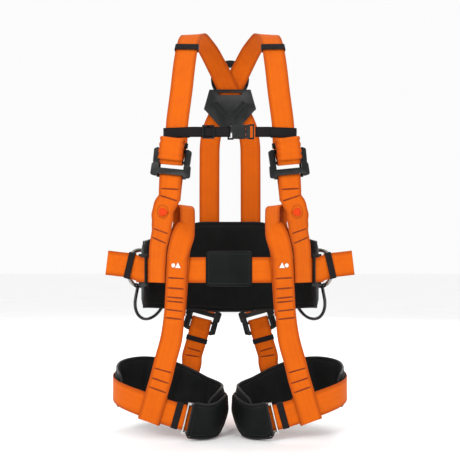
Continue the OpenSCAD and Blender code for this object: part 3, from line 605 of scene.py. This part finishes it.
def webbing(strap, material="webbing", swell=None):
    """Draws a strap's whole length as woven webbing in place of its CAD solid."""
    rows, uvs, edges = web_rows(strap, swell)
    mesh = tube_mesh("web_" + strap.node, rows, uvs, edge=edges)
    made = link("web_" + strap.node, mesh, MATERIAL[material])
    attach(made, BODY_OF[strap.node])
    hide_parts(strap.node)
    return made


class Stitches:
    """Bars and rows of stitching, gathered into one mesh."""

    CROWN = ((-1.0, -0.3), (-0.75, 0.75), (0.0, 1.0), (0.75, 0.75), (1.0, -0.3))
    BAR_SPOTS = 9
    BAR_HALF = 0.0017

    def __init__(self, name, body, material="thread"):
        self.name, self.body, self.material = name, body, material
        self.points, self.faces, self.uvs = [], [], []

    def strip(self, line, normals, sides, half, high=0.0004):
        """A crowned strip along a line that lies on a surface."""
        start, run, k = len(self.points), 0.0, len(self.CROWN)
        for i, (p, n, s) in enumerate(zip(line, normals, sides)):
            if i:
                run += np.linalg.norm(p - line[i - 1])
            taper = 0.55 if i in (0, len(line) - 1) else 1.0
            for x, y in self.CROWN:
                self.points.append(p + s * (x * half * taper) + n * (high * y * taper))
                self.uvs.append((run, x * half))
        for i in range(len(line) - 1):
            a = start + i * k
            self.faces += [(a + j, a + j + 1, a + k + j + 1, a + k + j) for j in range(k - 1)]
            self.faces.append((a + k - 1, a, a + k, a + 2 * k - 1))
        for a in (start, start + (len(line) - 1) * k):
            self.faces.append(tuple(a + j for j in range(k)))

    def bar(self, strap, v, reach=0.8, faces=(1,)):
        """A bar tack across the strap at the length v, on its front (1) or its back (-1)."""
        p, across, face, w, t = strap.at(v)
        ahead = unit(np.cross(across, face))
        spots = [(-1 + 2 * k / (self.BAR_SPOTS - 1)) * reach * w / 2 for k in range(self.BAR_SPOTS)]
        for f in faces:
            line = [p + across * x + face * f * (t * 0.45) for x in spots]
            self.strip(line, [face * f] * len(line), [ahead] * len(line), self.BAR_HALF)

    def row(self, line, normals, dash=0.0028, gap=0.0015, half=0.00035, high=0.0003):
        """Single stitches, one after another along a line."""
        gaps = [np.linalg.norm(b - a) for a, b in zip(line, line[1:])]
        far = np.concatenate([[0], np.cumsum(gaps)])

        def along(values, x):
            return np.array([np.interp(x, far, [q[a] for q in values]) for a in range(3)])

        v = 0.0
        while v + dash < far[-1]:
            spots = (v, v + dash / 2, v + dash)
            places = [along(line, x) for x in spots]
            outs = [unit(along(normals, x)) for x in spots]
            ahead = unit(places[-1] - places[0])
            self.strip(places, outs, [np.cross(ahead, n) for n in outs], half, high)
            v += dash + gap

    def finish(self):
        mesh = bpy.data.meshes.new(self.name)
        mesh.from_pydata([tuple(p) for p in self.points], [], self.faces)
        set_uvs(mesh, "thread", self.uvs)
        face_outwards(mesh)
        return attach(link(self.name, mesh, MATERIAL[self.material]), self.body)


def in_front(p):
    return p[1] < BODY_Y


def behind(p):
    return p[1] > BODY_Y


def leg_middle(side):
    return tuple(middle(f"leg_band_{side}"))


straps = {}
for side in SIDES:
    for kind in ("shoulder_strap", "front_strap", "front_riser", "rear_riser"):
        straps[f"{kind}_{side}"] = Strap(f"{kind}_{side}", TRUNK)
    straps[f"leg_band_{side}"] = Strap(f"leg_band_{side}", leg_middle(side))
for name in ("waist_belt_rear", "waist_belt_front"):
    straps[name] = Strap(name, TRUNK)


INDICATOR_MM, INDICATOR_REACH, LOBE_MM = 104, 25, 13
TAIL_LOW_MM, TAIL_HIGH_MM = 196, 262
TAIL_END, TAIL_PUFFED = 0.06, 0.045


def over_belt(p):
    """A place's height over the belt in millimetres."""
    return (p[2] - BELT_Z) * 1000


def indicator_swell(p, v):
    """The front strap is folded on itself at the load indicator: wider, prouder and rippled."""
    rise = over_belt(p) - INDICATOR_MM
    inside = math.exp(-(rise / INDICATOR_REACH) ** 4)
    lobes = 0.5 + 0.5 * math.cos(rise * math.pi / LOBE_MM)
    return inside * (0.0012 + 0.0016 * lobes), inside * 0.0004 * lobes, 0.0


def tail_crumple(p, v):
    """The shoulder strap's folded tail is puckered above the chest buckle."""
    if not in_front(p) or not TAIL_LOW_MM < over_belt(p) < TAIL_HIGH_MM:
        return 0.0, 0.0, 0.0
    puff = 0.0009 if v < TAIL_PUFFED else 0.0002
    return (0.0022 * (0.6 + 0.4 * math.sin(v * 520)) if v < TAIL_END else 0.0), puff, puff


SWELL = {"front_strap": indicator_swell, "shoulder_strap": tail_crumple}
for name, strap in straps.items():
    webbing(strap, swell=SWELL.get(name.rsplit("_", 1)[0]))
for name in ("chest_strap_left", "chest_strap_right", "chest_loop_left"):
    straps[name] = Strap(name, TRUNK)
    if name == "chest_loop_left":
        strap_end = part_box("chest_strap_left")[1].x
        straps[name].draw_out((strap_end, *middle("chest_strap_left")[1:]))
    made = webbing(straps[name], "black_web")
    if name == "chest_strap_left":
        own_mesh(made)


# ---- Pads ------------------------------------------------------------------------------------

PIPING_R = 0.0022
OUTLINE_STEP = 0.004
CLOTH_FRAMES = 20


def search_tree(mesh):
    return BVHTree.FromPolygons([v.co for v in mesh.vertices], [f.vertices for f in mesh.polygons])


def pressed(points, outward, trees, room=0.0005, reach=0.012):
    """Each point, moved inwards where it would be less than room below what rests on the pad."""
    moved = points.copy()
    for i, (p, n) in enumerate(zip(points, outward)):
        depth = 0.0
        for tree in trees:
            hit = tree.ray_cast(Vector(p - n * reach), Vector(n), reach + 0.002)
            if hit[0] is not None:
                depth = min(depth, hit[3] - reach - room)
        moved[i] = p + n * depth
    return moved


def laid_on(tree, line, normals, above=0.012):
    """A line laid on a surface from above, with its normals, where it meets the surface."""
    on, facing = [], []
    for p, n in zip(line, normals):
        hit = tree.ray_cast(Vector(p + n * above), Vector(-n), 0.03)
        if hit[0] is not None:
            on.append(np.array(hit[0]))
            facing.append(n)
    return on, facing


def round_cord(name, line, radius, material, sides=8):
    """A closed round cord along a line of points, with U round it and V along it."""
    line = np.array(line)
    angles = [2 * math.pi * k / sides for k in range(sides)]
    rows, uvs, run, up = [], [], 0.0, None
    for i, p in enumerate(line):
        after = line[(i + 1) % len(line)]
        ahead = unit(after - line[i - 1])
        up = unit(np.cross(ahead, (0.3, 0.5, 0.81)) if up is None else up - ahead * (up @ ahead))
        other = np.cross(ahead, up)
        rows.append([p + radius * (up * math.cos(a) + other * math.sin(a)) for a in angles])
        uvs.append([(radius * a, run) for a in angles])
        run += np.linalg.norm(after - p)
    return link(name, tube_mesh(name, np.array(rows), np.array(uvs), ring=True), MATERIAL[material])


class Pad:
    """A foam pad between two fabrics, laid over the CAD pad's own middle line.

    The cover is a grid round the section. Its border and its sewn channels are pinned, air
    pressure fills what lies between them, and what rests on the pad presses it in again.
    """

    GRID = 0.0052
    RIM_FILL, INNER_FILL, RIM_SOFT = 0.30, 0.62, 0.007
    SEAM_DEPTH, SEAM_SOFT = 0.35, 0.0022
    CHANNEL_DEPTH = {1: 0.12, -1: 0.75}
    CHANNEL_SOFT = 0.004

    def __init__(self, node, around, corner, border=0.008, channels=()):
        self.strap = Strap(node, around, self.GRID)
        self.node, self.corner, self.border, self.cut = node, corner, border, None
        self.total = self.strap.length[-1]
        self.channels = [c * self.total for c in channels]

    def span(self, v):
        """Lowest and highest place across the pad at the length v, with its corners rounded."""
        width = self.strap.at(v)[3]
        end = min(v, self.total - v)
        trim = 0.0
        if end < self.corner:
            trim = self.corner - math.sqrt(max(0.0, self.corner**2 - (self.corner - end) ** 2))
        low, high = -width / 2 + trim, width / 2 - trim
        return (low, high) if self.cut is None else self.cut(v / self.total, low, high)

    def filled(self, rim, groove, side):
        """How full the pad is at a distance from its rim and from its nearest channel."""
        fill = self.RIM_FILL + self.INNER_FILL * (1 - math.exp(-(rim / self.RIM_SOFT) ** 2))
        if rim > self.border * 0.6:
            fill *= 1 - self.CHANNEL_DEPTH[side] * math.exp(-(groove / self.CHANNEL_SOFT) ** 2)
        seam = math.exp(-((rim - self.border) / self.SEAM_SOFT) ** 2)
        return fill * (1 - self.SEAM_DEPTH * seam)

    def grid(self):
        """The cover's points. Notes which of them are sewn, and the way each of them faces."""
        widest = max(np.linalg.norm(a) for a in self.strap.across)
        m = max(12, round(self.total / self.GRID))
        n = max(8, round(widest / self.GRID))
        rows, pins, outs, signs = [], [], [], []
        for v in np.linspace(0, self.total, m + 1):
            p, across, face, w, t = self.strap.at(v)
            low, high = self.span(v)
            groove = min([abs(v - c) for c in self.channels] or [1.0])
            row = []
            for side in (1, -1):
                for k in range(n + 1 if side > 0 else n - 1):
                    x = 1 - 2 * k / n if side > 0 else -1 + 2 * (k + 1) / n
                    rim = min((1 - abs(x)) * (high - low) / 2, v, self.total - v)
                    fill = self.filled(rim, groove, side)
                    row.append(p + across * ((low + high) / 2 + x * (high - low) / 2)
                               + face * (side * fill * t / 2 * (1.0 if rim > 1e-6 else 0.05)))
                    sewn = abs(rim - self.border) < self.GRID * 0.55 or rim < self.GRID * 0.5
                    pins.append(1.0 if sewn or (side < 0 and groove < self.GRID * 0.55) else 0.0)
                    outs.append(face * side)
                    signs.append(side)
            rows.append(row)
        self.outs, self.signs, self.pins = np.array(outs), np.array(signs), pins
        return np.array(rows)

    def build(self, resting, inner, outer, cap=0.004, middle_half=0.0):
        """Draws the pad. Its outward faces from middle_half out from the harness's middle take the
        outer material, which on the lumbar pad is a lighter copy of the pad fabric: painted highlight.
        """
        name = "cover_" + self.node
        mesh = tube_mesh(name, self.grid())
        made = link(name, mesh, MATERIAL[inner])
        mesh.materials.append(MATERIAL[outer])
        points = np.array([v.co for v in mesh.vertices])
        points = self.inflate(made, points, cap)
        outer_face = self.signs > 0
        points[outer_face] = pressed(points[outer_face], self.outs[outer_face],
                                     [search_tree(nodes[n].data) for n in resting])
        mesh.vertices.foreach_set("co", points.astype(np.float32).ravel())
        mesh.update()
        # Index 1 is the outer material; on the lumbar pad it is the lighter copy of the fabric, a
        # painted highlight.
        for face in mesh.polygons:
            outside = self.signs[list(face.vertices)].sum() > 0
            face.material_index = 1 if outside and abs(face.center.x) >= middle_half else 0
        smooth = made.modifiers.new("smooth", "SUBSURF")
        smooth.levels = smooth.render_levels = 1
        body = BODY_OF[self.node]
        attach(made, body)
        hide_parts(self.node)
        piping = round_cord("piping_" + self.node, self.outline(0.0)[0], PIPING_R, "piping")
        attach(piping, body)
        self.sew(search_tree(mesh), body)

    def sew(self, tree, body):
        """Stitches along the border of both faces, and along the channels of the inner one."""
        sewing = Stitches("stitching_" + self.node, body, "black_thread")
        for side in (1, -1):
            sewing.row(*laid_on(tree, *self.outline(self.border, side)))
        for v in self.channels:
            low, high = self.span(v)
            steps = np.linspace(low + self.border, high - self.border, 24)
            p, across, face, w, t = self.strap.at(v)
            line = [p + across * x - face * t / 2 for x in steps]
            sewing.row(*laid_on(tree, line, [-face] * len(line)))
        sewing.finish()

    def inflate(self, made, rest, cap):
        """The points after air pressure has filled the cover, none of them moved beyond cap."""
        group = made.vertex_groups.new(name="sewn")
        group.add([i for i, w in enumerate(self.pins) if w], 1.0, "REPLACE")
        cloth = made.modifiers.new("cloth", "CLOTH")
        cloth.settings.vertex_group_mass = "sewn"
        cloth.settings.quality = 6
        cloth.settings.mass = 0.3
        cloth.settings.use_pressure = True
        cloth.settings.uniform_pressure_force = 4.0
        cloth.settings.effector_weights.gravity = 0
        cloth.collision_settings.use_collision = False
        cloth.point_cache.frame_start, cloth.point_cache.frame_end = 1, CLOTH_FRAMES
        scene = bpy.context.scene
        for step in range(1, CLOTH_FRAMES + 1):
            scene.frame_set(step)
        swollen = made.evaluated_get(bpy.context.evaluated_depsgraph_get())
        move = np.array([v.co for v in swollen.data.vertices]) - rest
        made.modifiers.remove(cloth)
        scene.frame_set(1)
        far = np.linalg.norm(move, axis=1, keepdims=True)
        return rest + move * np.minimum(1, cap / np.maximum(far, 1e-9))

    def outline(self, inset, side=0):
        """A closed line round the pad at an inset from its edge, and the way its face looks."""
        count = max(8, round((self.total - 2 * inset) / OUTLINE_STEP))
        forth = [inset + (self.total - 2 * inset) * k / count for k in range(count + 1)]
        line, normals = [], []

        def add(v, share):
            p, across, face, w, t = self.strap.at(v)
            low, high = self.span(v)
            x = low + inset + (high - low - 2 * inset) * share
            line.append(p + across * x + face * (side * t / 2))
            normals.append(face * (side or 1))

        low, high = self.span(forth[-1])
        rungs = max(2, round((high - low - 2 * inset) / OUTLINE_STEP))
        for v in forth:
            add(v, 1.0)
        for k in range(1, rungs):
            add(forth[-1], 1 - k / rungs)
        for v in reversed(forth):
            add(v, 0.0)
        for k in range(1, rungs):
            add(forth[0], k / rungs)
        return line, normals


on_lumbar = ["waist_belt_rear", "waist_belt_front"]
on_lumbar += [f"{kind}_{side}" for side in SIDES
              for kind in ("shoulder_strap", "front_strap", "gear_tabs", "side_d_ring", "front_riser")]
# The lumbar pad's outward faces beyond middle_half get the painted highlight copy of its fabric.
Pad("lumbar_pad", TRUNK, corner=0.026, border=0.009).build(
    on_lumbar, "pad", "pad_painted_highlight", cap=0.0045, middle_half=0.034)
for side in SIDES:
    leg_pad = Pad(f"leg_pad_{side}", leg_middle(side), 0.018, channels=(0.17, 0.33, 0.5, 0.67, 0.83))
    leg_pad.build([f"leg_band_{side}", f"rear_riser_{side}", f"front_riser_{side}"],
                  "pad", "pad", cap=0.0035)
# ---- Flaps, sleeve and keepers ---------------------------------------------------------------

FLAP_CUT = 0.026


def padded_flap(side):
    """The flap that covers the groin end of a leg pad, its lower inner corner cut off."""
    flap = Pad(f"leg_flap_{side}", leg_middle(side), corner=0.004, border=0.006)
    flip = abs(flap.strap.place[0][0]) < abs(flap.strap.place[-1][0])

    def cut(share, low, high):
        along = 1 - share if flip else share
        return low + FLAP_CUT * max(0.0, (along - 0.5) / 0.5), high

    flap.cut = cut
    flap.build([], "flap", "flap", cap=0.0018)


for side in SIDES:
    padded_flap(side)


ELASTIC_WALL, ELASTIC_BEND = 0.0013, 0.0022
ELASTIC_SECTION = [(-1.0, 0.0), (-0.93, 0.8), (-0.6, 1.0), (0.0, 1.0), (0.6, 1.0), (0.93, 0.8),
                   (1.0, 0.0), (0.93, -0.8), (0.6, -1.0), (0.0, -1.0), (-0.6, -1.0), (-0.93, -0.8)]


def subdivided(a, b, step):
    """Values from a up to b, in steps of about one length in their first two."""
    count = max(1, round(math.hypot(b[0] - a[0], b[1] - a[1]) / step))
    return [tuple((1 - k / count) * p + k / count * q for p, q in zip(a, b)) for k in range(count)]


def elastic_keeper(node, strap):
    """A flat loop of ribbed elastic round a strap, in the space of the CAD keeper."""
    across, face = strap.at(strap.nearest(middle(node)))[1:3]
    ahead = unit(np.cross(across, face))
    points = np.array([v.co for v in nodes[node].data.vertices])
    axes = (across, face, ahead)
    spread = [((points @ axis).min(), (points @ axis).max()) for axis in axes]
    keeper_mid = sum(axis * (a + b) / 2 for axis, (a, b) in zip(axes, spread))
    wide, thick, long = (b - a for a, b in spread)
    half_w, half_t = (wide - ELASTIC_WALL) / 2, (thick - ELASTIC_WALL) / 2
    bend = min(ELASTIC_BEND, half_t)
    loop = []
    for corner, (sx, sy) in enumerate(((1, 1), (-1, 1), (-1, -1), (1, -1))):
        for k in range(5):
            a = math.pi / 2 * (corner + k / 4)
            loop.append((sx * (half_w - bend) + bend * math.cos(a),
                         sy * (half_t - bend) + bend * math.sin(a), math.cos(a), math.sin(a)))
    loop = [q for i, q in enumerate(loop) for q in subdivided(q, loop[(i + 1) % len(loop)], 0.003)]
    rows, uvs, run = [], [], 0.0
    for i, (x, y, nx, ny) in enumerate(loop):
        out = across * nx + face * ny
        place = keeper_mid + across * x + face * y
        rows.append([place + ahead * (a * long / 2) + out * (b * ELASTIC_WALL / 2)
                     for a, b in ELASTIC_SECTION])
        uvs.append([(a * long / 2, run) for a, b in ELASTIC_SECTION])
        after = loop[(i + 1) % len(loop)]
        run += math.hypot(after[0] - x, after[1] - y)
    mesh = tube_mesh("elastic_" + node, np.array(rows), np.array(uvs), ring=True)
    made = link("elastic_" + node, mesh, MATERIAL["black_web"])
    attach(made, BODY_OF[node])
    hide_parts(node)


for side in SIDES:
    for node, strap in ((f"shoulder_keeper_{side}", f"shoulder_strap_{side}"),
                        (f"strap_keeper_{side}", f"shoulder_strap_{side}"),
                        (f"riser_keeper_{side}", f"rear_riser_{side}"),
                        (f"belt_keeper_{side}", "waist_belt_front"),
                        (f"thigh_keeper_{side}", f"leg_band_{side}")):
        elastic_keeper(node, straps[strap])


SLEEVE_HALF_THICK, SLEEVE_INSET = 0.0033, 0.006
SLEEVE_STEPS, SLEEVE_ROUND = 24, 40


def belt_sleeve():
    """A soft cover over the belt's front, with a sewn border."""
    low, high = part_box("belt_sleeve")
    belt = straps["waist_belt_front"]
    first, last = sorted(belt.where(0, x, keep=in_front) for x in (low.x, high.x))
    half_high, rise = (high.z - low.z) / 2, (high.z + low.z) / 2 - BELT_Z
    rows = []
    for i in range(SLEEVE_STEPS + 1):
        p, across, face, w, t = belt.at(first + (last - first) * i / SLEEVE_STEPS)
        end = min(i, SLEEVE_STEPS - i) / SLEEVE_STEPS * (last - first)
        puff = SLEEVE_HALF_THICK * (0.8 + 0.35 * (1 - math.exp(-(end / 0.012) ** 2)))
        tuck = 0.003 * math.exp(-(end / 0.004) ** 2)
        row = []
        for a in (2 * math.pi * k / SLEEVE_ROUND for k in range(SLEEVE_ROUND)):
            x = math.copysign(abs(math.cos(a)) ** 0.22, math.cos(a)) * (half_high - tuck)
            y = math.copysign(abs(math.sin(a)) ** 0.55, math.sin(a)) * puff
            row.append(p + across * (x + rise) + face * y)
        rows.append(row)
    made = link("cover_belt_sleeve", tube_mesh("cover_belt_sleeve", np.array(rows)), MATERIAL["flap"])
    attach(made, BODY_OF["belt_sleeve"])
    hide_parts("belt_sleeve")
    left, right = first + SLEEVE_INSET, last - SLEEVE_INSET
    border = [(v, 1) for v in np.linspace(left, right, 30)]
    border += [(right, x) for x in np.linspace(1, -1, 24)[1:-1]]
    border += [(v, -1) for v in np.linspace(right, left, 30)]
    border += [(left, x) for x in np.linspace(-1, 1, 24)[1:]]
    line, normals = [], []
    for v, x in border:
        p, across, face, w, t = belt.at(v)
        line.append(p + across * (x * (half_high - SLEEVE_INSET) + rise))
        normals.append(face)
    sewing = Stitches("stitching_belt_sleeve", BODY_OF["belt_sleeve"], "black_thread")
    sewing.row(*laid_on(search_tree(made.data), line, normals))
    sewing.finish()


belt_sleeve()


# ---- Stitching on the webbing ----------------------------------------------------------------


BARS = []
for side in SIDES:
    BARS += [(f"front_strap_{side}", (158, 140, 77, 59), {}),
             (f"front_riser_{side}", (-16, -36, -54, -62, -79, -95, -196, -216, -234), {}),
             (f"rear_riser_{side}", (-178, -192, -238, -252, -266), {"faces": (1, -1), "reach": 0.72})]
BARS += [(f"shoulder_strap_{side}", (91, 74, 57, -36, -53, -69), {"faces": (1, -1)}) for side in SIDES]
for number, (name, heights, options) in enumerate(BARS):
    sewing = Stitches(f"bars_{number}_{name}", BODY_OF[name])
    for height in heights:
        sewing.bar(straps[name], straps[name].outermost(2, above_belt(height)), **options)
    sewing.finish()
for side, sign in zip(SIDES, (1, -1)):
    belt = straps["waist_belt_rear"]
    sewing = Stitches(f"bars_belt_{side}", BODY_OF["waist_belt_rear"])
    for x in (93, 105, 117, 129):
        sewing.bar(belt, belt.where(0, sign * x / 1000, keep=behind), reach=0.74)
    sewing.finish()

RING_R, RING_STEPS = 0.0128, 40


def indicator_ring(side):
    """A sewn ring round the load indicator's patch."""
    strap = straps[f"front_strap_{side}"]
    p, across, face, w, t = strap.at(strap.nearest(middle(f"load_indicator_{side}")))
    ahead = unit(np.cross(across, face))
    angles = [2 * math.pi * k / RING_STEPS for k in range(RING_STEPS + 1)]
    ring = [p + (across * math.cos(a) + ahead * math.sin(a)) * RING_R for a in angles]
    tree = search_tree(bpy.data.objects[f"web_front_strap_{side}"].data)
    sewing = Stitches(f"indicator_ring_{side}", BODY_OF[f"front_strap_{side}"])
    sewing.row(*laid_on(tree, ring, [face] * len(ring), above=0.02),
               dash=0.0034, gap=0.0006, half=0.0006, high=0.0005)
    sewing.finish()


for side in SIDES:
    indicator_ring(side)


# ---- Label -----------------------------------------------------------------------------------

PRINT_THICK = 0.0004
DOT_R, DOT_SHIFT, DOT_STEPS = 0.0062, -0.004, 32
BAR_LEFT, BAR_WIDE = (0.0055, 0.0095), 0.0022
LABEL_SEAM, SEAM_STEPS = 0.0165, 12


def flat_shape(name, outline, place, material):
    """A thin print on the label that looks to +Y, with its outline in X and Z round a place."""
    n = len(outline)
    points = [(place[0] + x, place[1] + y, place[2] + z) for y in (0, PRINT_THICK) for x, z in outline]
    faces = [tuple(range(n)), tuple(range(2 * n - 1, n - 1, -1))]
    faces += [(k, (k + 1) % n, (k + 1) % n + n, k + n) for k in range(n)]
    mesh = bpy.data.meshes.new(name)
    mesh.from_pydata(points, [], faces)
    made = link(name, mesh, MATERIAL[material])
    for face in mesh.polygons:
        face.use_smooth = False
    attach(made, BODY_OF["label"])


def label_print():
    """A green dot and two grey bars on the label, and the seam round it."""
    low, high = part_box("label")
    place = ((low.x + high.x) / 2, high.y - 0.0001, (low.z + high.z) / 2)
    angles = (2 * math.pi * k / DOT_STEPS for k in range(DOT_STEPS))
    disc = [(DOT_R * math.cos(a) + DOT_SHIFT, DOT_R * math.sin(a)) for a in angles]
    flat_shape("label_dot", disc, place, "green_print")
    for k, x in enumerate(BAR_LEFT):
        bar = [(x, -DOT_R), (x + BAR_WIDE, -DOT_R), (x + BAR_WIDE, DOT_R), (x, DOT_R)]
        flat_shape(f"label_bar_{k}", bar, place, "grey_print")
    sewing = Stitches("stitching_label", BODY_OF["label"], "black_thread")
    signs = ((-1, -1), (1, -1), (1, 1), (-1, 1), (-1, -1))
    corners = [(x * LABEL_SEAM, z * LABEL_SEAM) for x, z in signs]
    shares = [k / SEAM_STEPS for k in range(SEAM_STEPS + 1)]
    for (xa, za), (xb, zb) in zip(corners, corners[1:]):
        line = [np.array(place) + np.array((xa + (xb - xa) * q, 0.0001, za + (zb - za) * q))
                for q in shares]
        sewing.row(line, [np.array((0.0, 1.0, 0.0))] * len(line))
    sewing.finish()


label_print()


# ---- Finish of the hard CAD nodes ------------------------------------------------------------


WELD = 0.00002
BEVEL_ANGLE = math.radians(32)


def finish_node(node, material, bevel=0.0006):
    """Rounds the edges of a hard CAD node and gives it its material."""
    made = nodes[node]
    made.data.materials.clear()
    made.data.materials.append(MATERIAL[material])
    for face in made.data.polygons:
        face.use_smooth = True
        face.material_index = 0
    if "custom_normal" in made.data.attributes:
        made.data.attributes.remove(made.data.attributes["custom_normal"])
    made.modifiers.new("weld", "WELD").merge_threshold = WELD
    if bevel:
        rounded = made.modifiers.new("round", "BEVEL")
        rounded.width = bevel
        rounded.segments = 2
        rounded.limit_method = "ANGLE"
        rounded.angle_limit = BEVEL_ANGLE
        rounded.harden_normals = True
        rounded.use_clamp_overlap = True


finish_node("dorsal_d_ring", "painted", 0.0014)
finish_node("dorsal_plate", "plate", 0.0007)
for side in SIDES:
    for kind in ("shoulder_buckle_bar", "leg_buckle_bar"):
        finish_node(f"{kind}_{side}", "painted", 0.0009)
    for kind in ("shoulder_buckle_frame", "leg_buckle_frame", "waist_adjuster"):
        finish_node(f"{kind}_{side}", "painted")
    finish_node(f"thigh_buckle_{side}", "bright")
    finish_node(f"side_d_ring_{side}", "forged", 0)
    finish_node(f"gear_loop_{side}", "tube", 0)
    finish_node(f"gear_tabs_{side}", "plastic", 0.0005)
    finish_node(f"load_indicator_{side}", "red_mark", 0)
for node, material in (("chest_slide", "plastic"), ("chest_socket", "plastic"),
                       ("chest_plug", "plastic"), ("loop_marks", "print"), ("label", "black_web")):
    finish_node(node, material, 0.0005)
